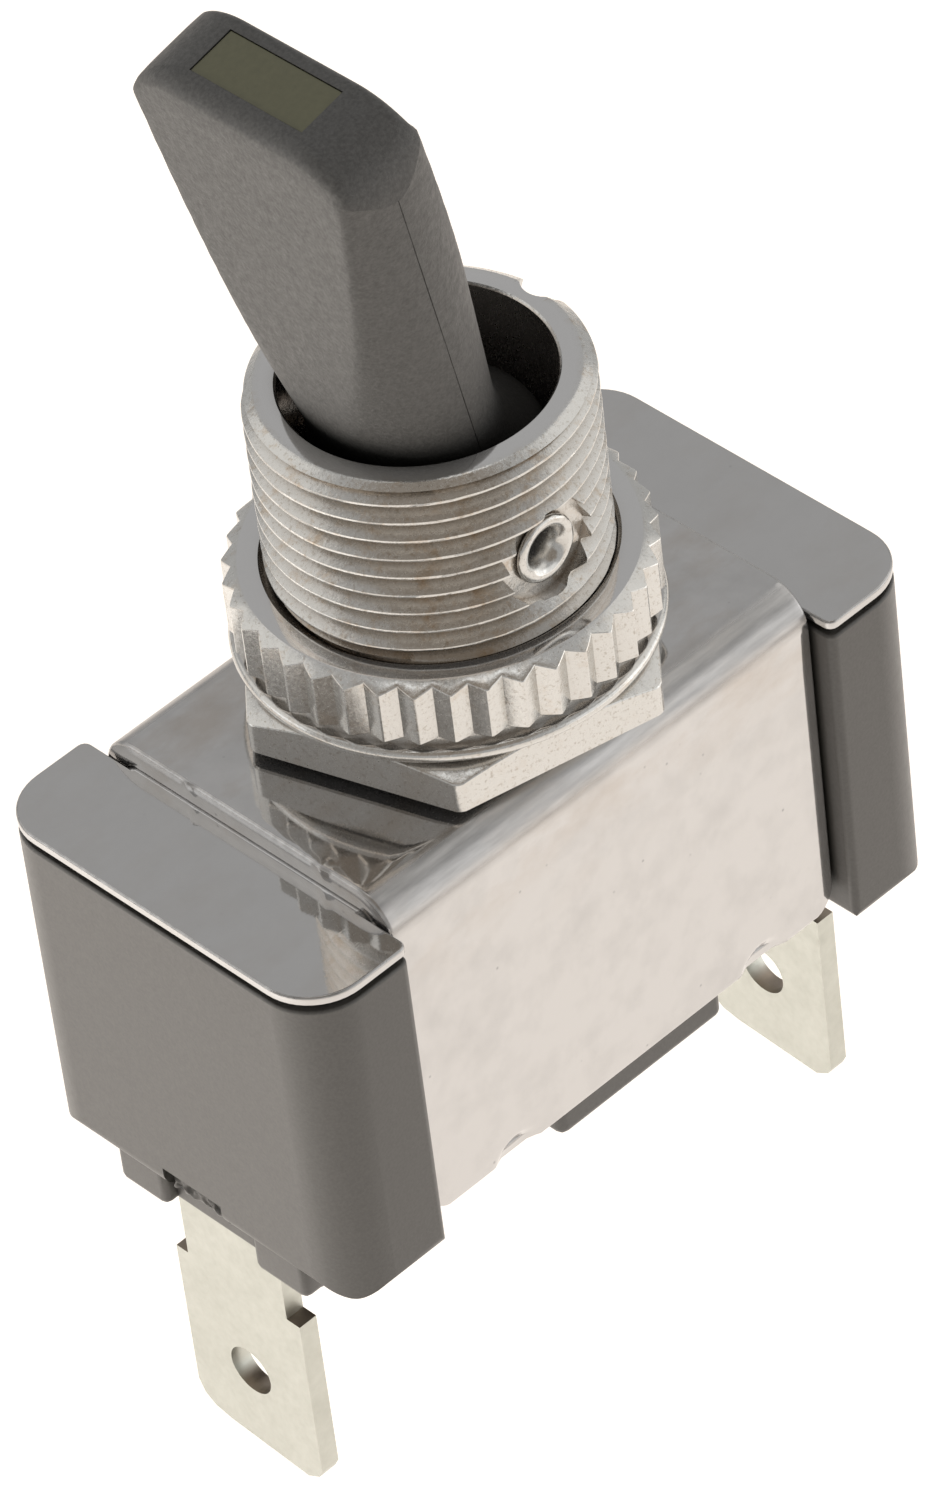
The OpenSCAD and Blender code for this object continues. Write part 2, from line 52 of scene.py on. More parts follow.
# body: a middle between two end blocks, with feet and a bar underneath
HALF_L = 14.6
HALF_W = 7.9
CORNER_R = 2.2
INNER_CORNER_R = 0.35
LOWER_EDGE_R = 0.8
BLOCK_X = 10.15          # inner end of each end block
BODY_TOP = -1.65
BODY_LOW = -15.3
MID_HALF = 6.05          # half width between the bracket's flaps
MID_LOW = -14.2
BAR_X = 1.05
BAR_HALF = 4.05
BAR_LOW = -16.9
FOOT_LOW = -17.0
FOOT_HALF = 4.7
FOOT_INNER = 12.0
FOOT_OUTER = 14.15
NOTCH_INNER = 13.5       # notch between the feet of one end
NOTCH_Y = (-2.1, 2.3)
GATE_Y = (-1.3, 1.6)     # recess with the broken sprue in the end face
GATE_Z = (-15.4, -14.2)
GATE_INNER = 14.1

# hollow of the body, with a rib across it and a shelf for the load terminal
FLOOR_Z = -12.0
HOLLOW_X = 13.6
HOLLOW_Y = 4.6
RIB_TOP = -8.2
RIB_X = (-10.2, -8.4)
SHELF_X = (7, 11.9)
SHELF_Y = 2.1
SHELF_TOP = -10.02
SHEET_SEAT_Y = 5.35      # recess that the insulator lies in
SHEET_SEAT_DEPTH = 0.4

# bracket and cover plate
BRACKET_HALF_L = 10.05
BRACKET_HALF_W = 7.0
SHEET = 0.95
BEND_R = 1.6
FLAP_LOW = -14.7
FLAP_CORNER_R = 1.2
SHEAR_R = 0.15           # rounding of the sheet's edge outside, and inside
BURR_R = 0.1
BURR_Y = (2.7, -3.7)     # places of two burrs on the -X end
STAKE_X = (-5.8, 6.4)
DENT_R = 2.15            # ball of the staking tool
DENT_Y = 1.75            # its centre lies this far outside the flap
DENT_Z = 0.35            # and this far below the flap's edge
LUG_HALF = 1.15          # staked lugs, bent in under the body
LUG_Y = (5.3, 6.8)
PLATE_LOW = -1.6
PLATE_TOP = -0.97
PLATE_STEP = 0.4         # the plate's rim stands out over the body, with a gap under it
PLATE_GAP = 0.27

# bushing and pivot pin
THREAD_R = 5.95
THREAD_PITCH = 0.79
THREAD_DEPTH = 0.44
CORE_R = 5.53
BORE_R = 4.72
RIM_R = 5.45
BUSHING_TOP = 12.9
SPIGOT_R = 5.3           # through the bracket, and its swaged lip underneath
SWAGE_R = 5.6
KEYWAY_X = 6.19
KEYWAY_R = 1.0
PIVOT_Z = 8.1
PIN_R = 1.0
PIN_BORE_R = 0.55
CROSS_HOLE_R = 1.02
MOUTH_R = 1.9            # wide outer part of each cross hole, down to MOUTH_Y
MOUTH_Y = 5.2

# nuts
NUT_BORE_R = 5.6
HEX_LOW = 0.34
HEX_TOP = 2.05
HEX_HALF = 7.0           # half the size across the flats
HEX_TURN = -13
KNURL_R = 7.5
KNURL_TEETH = 38
KNURL_TURN = 95.3
TOOTH_DEPTH = 0.4
FLANGE_LOW = 2.1
FLANGE_TOP = 2.6
TEETH_LOW = 2.95

# lever and lens, from the pivot along the lever
LEVER_LEAN = 13.5
LEVER_LENGTH = 20.45
BALL_R = 4.45
FLARE_TOP = 5.2          # the stem widens to the ball below this
FLARE_LOW = 1.2
FLARE_R = 4.28
FLARE_POWER = 2.2
TIP_HALF_THICKNESS = 1.75
FLAT_TAPER = 0.083
FLAT_LOW = 4.0           # below this the flats run out into the ball
FLAT_RUNOUT = 0.7
FLAT_BLEND = 0.16        # softness of the edge between oval and flat
TIP_OVAL = 4.5
TIP_HALF_WIDTH = 5.4
OVAL_TAPER_X = 0.1093
OVAL_TAPER_Y = 0.0933
SHOULDER_R = 2.9
SHOULDER_DROP = 2.5
LEVER_EDGE = 0.45
TAIL_END = -11
TAIL_R = 2.1
PIN_HOLE_R = 1.06
SPRING_BORE_R = 1.35
SPRING_BORE_TOP = -3.6
LAMP_R = 1.3             # chamber of the lamp
LAMP_LOW = 9.6
LEAD_X = 1.15
LENS_HALF = (0.965, 2.565)
LENS_X = 0.15
LENS_DEPTH = 2.1

# terminals
BLADE_X = 13.05
BLADE_HALF = 3.15
BLADE_T = 0.8
BLADE_END = -28.0
SHOULDER_Z = -19.9
NECK_HALF = 2.5
HOLE_Z = -24.2
BLADE_HOLE_R = 1.0
STRAP_X = 2.4            # inner end of the line terminal's strap
STRAP_Y = 2.2
STRAP_TOP = -11.2
STRAP_GAP = 0.1          # slack of its slot in the body, at the sides and at the end
STRAP_END_GAP = 0.2
LOAD_STRAP_X = 6.7       # inner end of the load terminal's strap
LOAD_STRAP_LOW = -10.0
LOAD_STRAP_TOP = -9.2
CONTACT_X = 8.3          # axis of the fixed contact's rivet

# camera: where it stands, how it is turned, and its lens
CAMERA_AT = (-140.736, -168.680, 190.388)
CAMERA_AZIMUTH = -39.839
CAMERA_ELEVATION = 42.303
CAMERA_ROLL = -7.421
CAMERA_LENS = 207.7


# ---------------------------------------------------------------- mesh helpers
def new_object(name, verts, faces):
    """A mesh object with doubled points joined and its faces turned outwards."""
    mesh = bpy.data.meshes.new(name)
    mesh.from_pydata([tuple(v) for v in verts], [], faces)
    bm = bmesh.new()
    bm.from_mesh(mesh)
    bmesh.ops.remove_doubles(bm, verts=bm.verts, dist=1e-5)
    bmesh.ops.dissolve_degenerate(bm, edges=bm.edges, dist=1e-6)
    bmesh.ops.recalc_face_normals(bm, faces=bm.faces)
    bm.to_mesh(mesh)
    bm.free()
    obj = bpy.data.objects.new(name, mesh)
    bpy.context.scene.collection.objects.link(obj)
    return obj


def skin(rings, closed=False):
    """Points and faces of the skin over rings of equal length, capped unless closed."""
    count = len(rings[0])
    verts = [p for ring in rings for p in ring]
    faces = []
    for j in range(len(rings) if closed else len(rings) - 1):
        low = j * count
        high = (j + 1) % len(rings) * count
        for i in range(count):
            k = (i + 1) % count
            faces.append((low + i, low + k, high + k, high + i))
    if not closed:
        faces.append(tuple(reversed(range(count))))
        faces.append(tuple(range((len(rings) - 1) * count, len(rings) * count)))
    return verts, faces


def arc(cx, cy, r, start, end, steps):
    """Points on an arc, angles in degrees."""
    angles = [math.radians(start + (end - start) * i / steps) for i in range(steps + 1)]
    return [(cx + r * math.cos(a), cy + r * math.sin(a)) for a in angles]


def rounded(x0, x1, y0, y1, r, steps=6):
    """Outline of a rectangle with round corners."""
    return (arc(x1 - r, y1 - r, r, 0, 90, steps) + arc(x0 + r, y1 - r, r, 90, 180, steps)
            + arc(x0 + r, y0 + r, r, 180, 270, steps) + arc(x1 - r, y0 + r, r, 270, 360, steps))


PLANES = {
    "XY": lambda u, v, w: (u, v, w),
    "YZ": lambda u, v, w: (w, u, v),
    "XZ": lambda u, v, w: (u, w, v),
}


def prism(outline, plane, low, high, name="part"):
    """An outline pushed straight through from low to high."""
    place = PLANES[plane]
    return new_object(name, *skin([[place(u, v, w) for u, v in outline] for w in (low, high)]))


def box(x0, x1, y0, y1, z0, z1, edge=0.0):
    """A box between opposite corners, its edges rounded."""
    obj = prism([(x0, y0), (x1, y0), (x1, y1), (x0, y1)], "XY", z0, z1)
    return bevel(obj, edge, 3) if edge else obj


def post(z0, z1, r0, r1=None, steps=64):
    """A cylinder or cone about Z."""
    r1 = r0 if r1 is None else r1
    rings = [[(x, y, z) for x, y in arc(0, 0, r, 0, 360 - 360 / steps, steps - 1)]
             for r, z in ((r0, z0), (r1, z1))]
    return new_object("post", *skin(rings))


def spun(name, profile_at, angles):
    """A ring-shaped solid: the closed profile (r, z) at each angle, in degrees."""
    rings = []
    for a in angles:
        c, s = math.cos(math.radians(a)), math.sin(math.radians(a))
        rings.append([(r * c, r * s, z) for r, z in profile_at(a)])
    return new_object(name, *skin(rings, closed=True))


def evenly(count):
    """That many angles round the circle, in degrees."""
    return [360 * i / count for i in range(count)]


def moved(obj, matrix):
    obj.data.transform(matrix)
    if matrix.determinant() < 0:
        obj.data.flip_normals()
    return obj


def apply_modifiers(obj):
    bpy.context.view_layer.update()
    graph = bpy.context.evaluated_depsgraph_get()
    mesh = bpy.data.meshes.new_from_object(obj.evaluated_get(graph))
    obj.modifiers.clear()
    obj.data = mesh
    return obj


def combine(obj, others, operation, solver="MANIFOLD"):
    """Joins others to obj, cuts them from it, or keeps what they share."""
    for other in others:
        mod = obj.modifiers.new(operation, "BOOLEAN")
        mod.operation = operation
        mod.solver = solver
        mod.object = other
        apply_modifiers(obj)
        bpy.data.objects.remove(other)
    return obj


def bevel(obj, width, segments=2, angle=40):
    mod = obj.modifiers.new("edges", "BEVEL")
    mod.width = width
    mod.segments = segments
    mod.limit_method = "ANGLE"
    mod.angle_limit = math.radians(angle)
    return apply_modifiers(obj)


def roughen(obj, amount, grain):
    """Moves each point along its normal by smooth noise."""
    normals = [v.normal.copy() for v in obj.data.vertices]
    for v, n in zip(obj.data.vertices, normals):
        v.co += n * amount * noise.noise(v.co / grain)
    return obj


ON_BRACKET = Matrix.Translation((0, 0, -NUT_TOP * MM)) @ Matrix.Scale(MM, 4)
IN_LEVER = (Matrix.Translation((0, 0, (PIVOT_Z - NUT_TOP) * MM))
            @ Matrix.Rotation(math.radians(-LEVER_LEAN), 4, "Y") @ Matrix.Scale(MM, 4))


def put(obj, name, body, nodes, material, matrix=ON_BRACKET, sharp=32):
    """Places a finished piece: its frame, shading, material, body and nodes."""
    obj.name = name
    obj.data.name = name
    moved(obj, matrix)
    obj.data.shade_smooth()
    obj.data.set_sharp_from_angle(angle=math.radians(sharp))
    normals = obj.modifiers.new("normals", "WEIGHTED_NORMAL")
    normals.keep_sharp = True
    obj.data.materials.clear()
    obj.data.materials.append(material)
    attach(obj, body)
    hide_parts(*nodes)
    return obj


# ---------------------------------------------------------------- materials
SMUDGE_Z = (-11, -7.2)   # heights in the frame, in mm, between which smudges come in
BEND_ROUGHNESS = 0.24    # added on the bend


class Shader:
    """A node material, written from its texture up to its principled shader."""

    def __init__(self, name, color, metallic=0.0, roughness=0.4, **sockets):
        self.material = bpy.data.materials.new(name)
        self.material.use_nodes = True
        self.tree = self.material.node_tree
        self.principled = self.tree.nodes["Principled BSDF"]
        self.coords = self.add("ShaderNodeTexCoord").outputs["Object"]
        self.height = None
        self.set("Base Color", (*color, 1))
        self.set("Metallic", metallic)
        self.set("Roughness", roughness)
        for key, value in sockets.items():
            self.set(key.replace("_", " "), value)

    def add(self, kind, **settings):
        node = self.tree.nodes.new(kind)
        for key, value in settings.items():
            setattr(node, key, value)
        return node

    def link(self, source, target):
        self.tree.links.new(source, target)

    def set(self, socket, value):
        self.principled.inputs[socket].default_value = value

    def feed(self, socket, source):
        self.link(source, self.principled.inputs[socket])

    def stretched(self, scale):
        """Object coordinates, scaled along each axis."""
        node = self.add("ShaderNodeMapping")
        node.inputs["Scale"].default_value = scale
        self.link(self.coords, node.inputs["Vector"])
        return node.outputs["Vector"]

    def noise(self, grain, detail=3.0, rough=0.55, stretch=None):
        """Noise from 0 to 1 whose blotches are about grain millimetres wide."""
        node = self.add("ShaderNodeTexNoise")
        node.inputs["Scale"].default_value = 1 / (grain * MM)
        node.inputs["Detail"].default_value = detail
        node.inputs["Roughness"].default_value = rough
        self.link(self.stretched(stretch) if stretch else self.coords, node.inputs["Vector"])
        return node.outputs["Fac"]

    def cells(self, grain):
        """Distance from the nearest of points about grain millimetres apart."""
        node = self.add("ShaderNodeTexVoronoi")
        node.inputs["Scale"].default_value = 1 / (grain * MM)
        self.link(self.coords, node.inputs["Vector"])
        return node.outputs["Distance"]

    def ramp(self, source, low, high, bottom=0.0, top=1.0):
        """Maps low..high of the source to bottom..top, and clamps."""
        node = self.add("ShaderNodeMapRange")
        for key, value in (("From Min", low), ("From Max", high),
                           ("To Min", bottom), ("To Max", top)):
            node.inputs[key].default_value = value
        self.link(source, node.inputs["Value"])
        return node.outputs["Result"]

    def calc(self, a, b, operation="MULTIPLY"):
        """The product, or another operation, of two numbers or outputs."""
        node = self.add("ShaderNodeMath", operation=operation)
        for i, value in enumerate((a, b)):
            if isinstance(value, (int, float)):
                node.inputs[i].default_value = value
            else:
                self.link(value, node.inputs[i])
        return node.outputs["Value"]

    def mix(self, factor, a, b):
        """Colour a where the factor is 0, b where it is 1."""
        node = self.add("ShaderNodeMix", data_type="RGBA")
        self.link(factor, node.inputs["Factor"])
        for key, value in (("A", a), ("B", b)):
            socket = [s for s in node.inputs if s.name == key and s.type == "RGBA"][0]
            if isinstance(value, tuple):
                socket.default_value = (*value, 1)
            else:
                self.link(value, socket)
        return [s for s in node.outputs if s.type == "RGBA"][0]

    def place(self, axis, low, high):
        """0 to 1 as the object coordinate along the axis goes from low to high, in mm."""
        split = self.add("ShaderNodeSeparateXYZ")
        self.link(self.coords, split.inputs["Vector"])
        return self.ramp(split.outputs[axis], low * MM, high * MM)

    def within(self, axis, low, high):
        """1 between two object coordinates along the axis, in mm, and 0 outside."""
        fade = 0.02
        return self.calc(self.place(axis, low - fade, low), self.place(axis, high + fade, high))

    def facing(self, axis, low, high, bottom=0.0, top=1.0):
        """Goes from bottom to top as the normal's share along the axis goes from low to high."""
        split = self.add("ShaderNodeSeparateXYZ")
        source = self.add("ShaderNodeTexCoord").outputs["Normal"]
        self.link(source, split.inputs["Vector"])
        return self.ramp(split.outputs[axis], low, high, bottom, top)

    def radius(self, low, high):
        """0 to 1 as the distance from the bushing's axis goes from low to high, in mm."""
        level = self.stretched((1, 1, 0))
        node = self.add("ShaderNodeVectorMath", operation="LENGTH")
        self.link(level, node.inputs[0])
        return self.ramp(node.outputs["Value"], low * MM, high * MM)

    def shade_mask(self, reach):
        """Mask for painted shade: 1 deep in a corner, 0 in the open, looking reach millimetres round.
        """
        node = self.add("ShaderNodeAmbientOcclusion", samples=6)
        node.inputs["Distance"].default_value = reach * MM
        return self.ramp(node.outputs["AO"], 0.15, 0.85, 1.0, 0.0)

    def bump(self, source, depth, strength=None):
        """Adds relief of that depth in millimetres to what was there before."""
        node = self.add("ShaderNodeBump")
        if strength is not None:
            self.link(strength, node.inputs["Strength"])
        node.inputs["Distance"].default_value = depth * MM
        self.link(source, node.inputs["Height"])
        if self.height is not None:
            self.link(self.height, node.inputs["Normal"])
        self.height = node.outputs["Normal"]
        self.feed("Normal", self.height)


def dimmed(color, *shares):
    """A colour times one share, or times a share for each channel."""
    shares = shares if len(shares) == 3 else shares * 3
    return tuple(c * share for c, share in zip(color, shares))


def body_plastic():
    """Satin black moulding, with painted shade (darker and duller) in corners and in the sprue's
    recess, mottled over its rough scar.
    """
    s = Shader("black_plastic", (0.045, 0.045, 0.043), roughness=0.36, IOR=1.55)
    grain = s.noise(0.12, 3, 0.6)
    open_color = s.mix(s.ramp(grain, 0.35, 0.65), (0.054, 0.051, 0.047), (0.066, 0.063, 0.058))
    gate_low, gate_high = (z - NUT_TOP for z in GATE_Z)
    # painted shade in the sprue's recess, mottled by noise
    recess_shade = s.calc(s.within("Y", *GATE_Y), s.within("Z", gate_low, gate_high))
    recess_shade = s.calc(recess_shade, s.ramp(s.noise(0.35, 3), 0.3, 0.6, 1.0, 0.5))
    # painted shade: darker and duller in corners and in the sprue's recess
    painted_shade = s.calc(s.calc(s.shade_mask(1.0), 0.9), recess_shade, "MAXIMUM")
    s.feed("Base Color", s.mix(painted_shade, open_color, (0.012, 0.011, 0.009)))
    s.feed("Specular IOR Level", s.ramp(painted_shade, 0.3, 1.0, 0.5, 0.12))
    s.feed("Roughness", s.ramp(s.noise(0.3, 4), 0.3, 0.7, 0.35, 0.4))
    s.bump(grain, 0.004)
    return s.material


def lever_plastic():
    """Charcoal plastic with a matte grain, and painted shade (darker and duller) where it goes down
    into the bore.
    """
    s = Shader("charcoal_plastic", (0.035, 0.035, 0.034), roughness=0.55, IOR=1.5)
    grain = s.noise(0.13, 3, 0.65)
    open_color = s.mix(s.ramp(grain, 0.35, 0.7), (0.045, 0.0435, 0.041), (0.074, 0.072, 0.068))
    # painted shade: darker and duller where other parts close round the lever, most of all in the bore
    low = s.shade_mask(5)
    s.feed("Base Color", s.mix(low, open_color, (0.012, 0.012, 0.011)))
    s.feed("Specular IOR Level", s.ramp(low, 0.0, 0.8, 0.5, 0.2))
    s.feed("Roughness", s.ramp(s.noise(0.3, 3), 0.3, 0.7, 0.45, 0.62))
    s.bump(grain, 0.02)
    return s.material


def lens_plastic():
    s = Shader("olive_lens", (0.085, 0.082, 0.04), roughness=0.28,
               Coat_Weight=0.3, Coat_Roughness=0.1)
    s.feed("Base Color", s.mix(s.noise(0.25, 3), (0.07, 0.068, 0.034), (0.1, 0.096, 0.05)))
    s.bump(s.noise(0.15, 2), 0.004)
    return s.material


def sheet_steel(name, color, rough, stain):
    """Nickel plated sheet: mottling, specks and fine scratches along X.

    Brown smudges fade out down the flaps. The bend is darkened in streaks, partly rubbing and partly
    painted shade that dims its reflection, and it is rougher.
    """
    s = Shader(name, color, metallic=0.94, roughness=rough)
    mottle = s.ramp(s.noise(1.6, 5, 0.62), 0.42, 0.72)
    clouded = s.mix(s.calc(mottle, stain), color, dimmed(color, 0.8))
    specks = s.calc(s.ramp(s.cells(1.3), 0.06, 0.02), stain)
    cloud = s.ramp(s.noise(2.2, 5, 0.65, (0.5, 1, 1)), 0.45, 0.7)
    smudge = s.calc(cloud, s.place("Z", *SMUDGE_Z))
    clouded = s.mix(s.calc(smudge, stain), clouded, dimmed(color, 0.76, 0.67, 0.58))
    bent = s.calc(s.facing("Z", 0.05, 0.3), s.facing("Z", 0.995, 0.93))
    streaks = s.ramp(s.noise(0.35, 4, 0.6, (0.12, 1, 1)), 0.35, 0.65, 0.95, 0.35)
    # darker streaks on the bend: rubbing, and painted shade that dims the bend's reflection
    clouded = s.mix(s.calc(bent, streaks), clouded, dimmed(color, 0.6))
    s.feed("Base Color", s.mix(specks, clouded, dimmed(color, 0.35)))
    spread = s.ramp(s.noise(0.5, 4), 0.3, 0.7, rough * 0.75, rough * 1.35)
    s.feed("Roughness", s.calc(spread, s.calc(bent, BEND_ROUGHNESS), "ADD"))
    s.bump(s.noise(0.12, 2, 0.6, (0.05, 1, 1)), 0.0007)
    s.bump(s.noise(3.0, 2), 0.0022)
    return s.material


def turned_brass(name, grit_depth, dirt, corners=0.75, bore=False):
    """Nickel plated brass: gritty where it was cut, polished on top, with brown painted shade in the
    corners.

    The bushing's bore gets a colour of its own.
    """
    s = Shader(name, (0.6, 0.59, 0.57), metallic=0.92, roughness=0.2)
    grit = s.noise(0.13, 3, 0.65)
    polished = s.facing("Z", 0.93, 0.985)
    rough = s.facing("Z", 0.985, 0.93)
    speckle = s.ramp(s.noise(0.16, 3, 0.75), 0.56, 0.66)
    cut = s.mix(s.calc(speckle, 0.5), (0.6, 0.595, 0.575), (0.3, 0.26, 0.21))
    stain = s.calc(s.ramp(s.noise(0.9, 4, 0.7), 0.54, 0.7), dirt)
    cut = s.mix(stain, cut, (0.42, 0.31, 0.2))
    color = s.mix(polished, cut, (0.64, 0.635, 0.63))
    # painted shade, brown, in corners and under the nuts; corners sets how strong it is
    shade = s.calc(s.shade_mask(0.9), corners)
    color = s.mix(shade, color, (0.2, 0.15, 0.1))
    if bore:
        color = s.mix(s.radius(BORE_R + 0.04, BORE_R + 0.02), color, (0.55, 0.5, 0.45))
    s.feed("Base Color", color)
    smoother = s.facing("Z", 0.93, 0.985, 1, 0.4)
    s.feed("Roughness", s.calc(s.ramp(grit, 0.3, 0.7, 0.14, 0.3), smoother))
    s.bump(grit, grit_depth, rough)
    s.bump(s.noise(0.6, 3), grit_depth * 2, rough)
    return s.material


def terminal_brass():
    """Satin plating, brown on the cut edges that face up."""
    s = Shader("tinned_brass", (0.62, 0.56, 0.47), metallic=1.0, roughness=0.4)
    cloud = s.ramp(s.noise(1.4, 4, 0.6), 0.35, 0.7)
    face = s.mix(cloud, (0.55, 0.555, 0.505), (0.5, 0.505, 0.455))
    cut = s.facing("Z", 0.55, 0.9)
    s.feed("Base Color", s.mix(cut, face, (0.32, 0.27, 0.22)))
    s.feed("Roughness", s.ramp(s.noise(0.3, 3), 0.3, 0.7, 0.34, 0.5))
    s.bump(s.noise(0.25, 3), 0.004)
    return s.material


def plain_metal(name, color, rough):
    """A metal of the inner pieces, with a little tarnish."""
    s = Shader(name, color, metallic=1.0, roughness=rough)
    tarnish = s.ramp(s.noise(0.9, 4), 0.45, 0.7)
    s.feed("Base Color", s.mix(tarnish, color, dimmed(color, 0.75)))
    s.bump(s.noise(0.12, 3), 0.004)
    return s.material


def fibre_sheet():
    s = Shader("fibre", (0.3, 0.16, 0.09), roughness=0.75)
    fibres = s.noise(0.3, 5, 0.7, (1, 4, 4))
    s.feed("Base Color", s.mix(fibres, (0.24, 0.13, 0.07), (0.4, 0.23, 0.13)))
    s.bump(s.noise(0.15, 4, 0.7), 0.02)
    return s.material


def clear_glass():
    s = Shader("clear_glass", (0.93, 0.94, 0.92), roughness=0.03,
               Transmission_Weight=1.0, IOR=1.5)
    s.feed("Roughness", s.ramp(s.noise(0.6, 2), 0.3, 0.7, 0.01, 0.06))
    return s.material


# ---------------------------------------------------------------- body
def block_outline(inset=0.0):
    """Plan of the +X end block, drawn in by inset."""
    x0 = BLOCK_X + inset
    x1 = HALF_L - inset
    w = HALF_W - inset
    big = CORNER_R - inset
    small = max(INNER_CORNER_R - inset, 0.05)
    return (arc(x1 - big, w - big, big, 0, 90, 12) + arc(x0 + small, w - small, small, 90, 180, 4)
            + arc(x0 + small, -w + small, small, 180, 270, 4)
            + arc(x1 - big, -w + big, big, 270, 360, 12))


def layers(outline_at, low, high, low_r, high_r, steps=6):
    """Rings of an upright solid whose lower and upper edges are rounded."""
    rings = []
    for i in range(steps + 1):
        t = math.radians(90 * i / steps)
        z = low + low_r * (1 - math.cos(t))
        rings.append([(x, y, z) for x, y in outline_at(low_r * (1 - math.sin(t)))])
    for i in range(steps + 1):
        t = math.radians(90 * i / steps)
        z = high - high_r * (1 - math.sin(t))
        rings.append([(x, y, z) for x, y in outline_at(high_r * (1 - math.cos(t)))])
    return rings


MIRROR_X = Matrix.Scale(-1, 4, (1, 0, 0))


def body_end():
    """End block with its pair of feet, at the +X end."""
    block = new_object("block", *skin(layers(block_outline, BODY_LOW, BODY_TOP, 0.06, 0.12, 4)))
    over = BODY_TOP + 2 * LOWER_EDGE_R
    side_view = prism(rounded(BLOCK_X, HALF_L, BODY_LOW, over, LOWER_EDGE_R, 8), "XZ", -20, 20)
    end_view = prism(rounded(-HALF_W, HALF_W, BODY_LOW, over, LOWER_EDGE_R, 8), "YZ", 0, 20)
    combine(block, [side_view, end_view], "INTERSECT")
    base = box(FOOT_INNER, NOTCH_INNER + 0.1, -FOOT_HALF, FOOT_HALF, FOOT_LOW, BODY_LOW + 1, 0.25)
    feet = [box(NOTCH_INNER - 0.4, FOOT_OUTER, y0, y1, FOOT_LOW, BODY_LOW + 1, 0.3)
            for y0, y1 in ((-FOOT_HALF, NOTCH_Y[0]), (NOTCH_Y[1], FOOT_HALF))]
    return combine(block, [base, *feet], "UNION")


def gate_scar():
    """Broken-off sprue in the recess of the end face, a rough patch facing +X."""
    patch = box(GATE_INNER - 0.6, GATE_INNER + 0.02, GATE_Y[0] - 0.1, GATE_Y[1] + 0.1,
                GATE_Z[0] - 0.1, GATE_Z[1] + 0.05)
    cuts = patch.modifiers.new("cuts", "REMESH")
    cuts.mode = "VOXEL"
    cuts.voxel_size = 0.06
    apply_modifiers(patch)
    return roughen(patch, 0.16, 0.28)


def housing():
    middle = box(-BLOCK_X - 1, BLOCK_X + 1, -MID_HALF, MID_HALF, MID_LOW, BODY_TOP)
    bar = box(BAR_X - BAR_HALF, BAR_X + BAR_HALF, -MID_HALF, MID_HALF, BAR_LOW, MID_LOW + 1, 0.35)
    ends = [body_end(), moved(body_end(), MIRROR_X)]
    obj = combine(middle, [bar, *ends], "UNION")
    slot_y = NECK_HALF + 0.05
    slot_x = BLADE_T / 2 + 0.05
    cuts = [
        box(-HOLLOW_X, HOLLOW_X, -HOLLOW_Y, HOLLOW_Y, RIB_TOP, 0),
        box(RIB_X[1], HOLLOW_X, -HOLLOW_Y, HOLLOW_Y, FLOOR_Z, RIB_TOP + 0.1),
        box(-HOLLOW_X, RIB_X[0], -HOLLOW_Y, HOLLOW_Y, FLOOR_Z, RIB_TOP + 0.1),
        box(-HOLLOW_X, STRAP_X + STRAP_END_GAP, -STRAP_Y - STRAP_GAP, STRAP_Y + STRAP_GAP,
            FLOOR_Z, STRAP_TOP + 0.05),
        box(-HOLLOW_X, HOLLOW_X, -SHEET_SEAT_Y, SHEET_SEAT_Y, BODY_TOP - SHEET_SEAT_DEPTH, 0),
        post(FLOOR_Z - 0.5, FLOOR_Z + 0.5, 1.4),
    ]
    for side in (-1, 1):
        cuts.append(box(side * BLADE_X - slot_x, side * BLADE_X + slot_x, -slot_y, slot_y, -18, -11))
        gate = box(GATE_INNER, HALF_L + 1, *GATE_Y, *GATE_Z, 0.05)
        cuts.append(gate if side > 0 else moved(gate, MIRROR_X))
    combine(obj, cuts, "DIFFERENCE")
    shelf = box(*SHELF_X, -SHELF_Y, SHELF_Y, FLOOR_Z - 0.5, SHELF_TOP)
    rivet_hole = moved(post(-11.4, -9.6, 1.0), Matrix.Translation((CONTACT_X, 0, 0)))
    combine(shelf, [rivet_hole], "DIFFERENCE")
    scars = [gate_scar(), moved(gate_scar(), MIRROR_X)]
    combine(obj, [shelf, *scars], "UNION")
    return put(obj, "body_moulding", "switch_body", ["housing"],
               body_plastic())


def cover_plate():
    seat = [[(x, y, z) for x, y in block_outline(PLATE_STEP)]
            for z in (PLATE_LOW, PLATE_LOW + PLATE_GAP)]
    rim = layers(block_outline, PLATE_LOW + PLATE_GAP, PLATE_TOP, 0.05, 0.1, 4)
    ends = [new_object("end", *skin(seat + rim)) for _ in range(2)]
    moved(ends[1], MIRROR_X)
    waist = MID_HALF - 0.02
    middle = prism(rounded(-waist, waist, PLATE_LOW - 3, PLATE_TOP, BEND_R - SHEET - 0.02),
                   "YZ", -BLOCK_X - 1, BLOCK_X + 1)
    combine(middle, [box(-12, 12, -8, 8, PLATE_LOW, 0)], "INTERSECT")
    combine(middle, ends, "UNION")
    combine(middle, [post(-3, 0, SWAGE_R + 0.1)], "DIFFERENCE")
    material = sheet_steel("plate_steel", (0.545, 0.54, 0.535), 0.035, 0.15)
    return put(middle, "top_plate", "switch_body", ["cover_plate"], material)


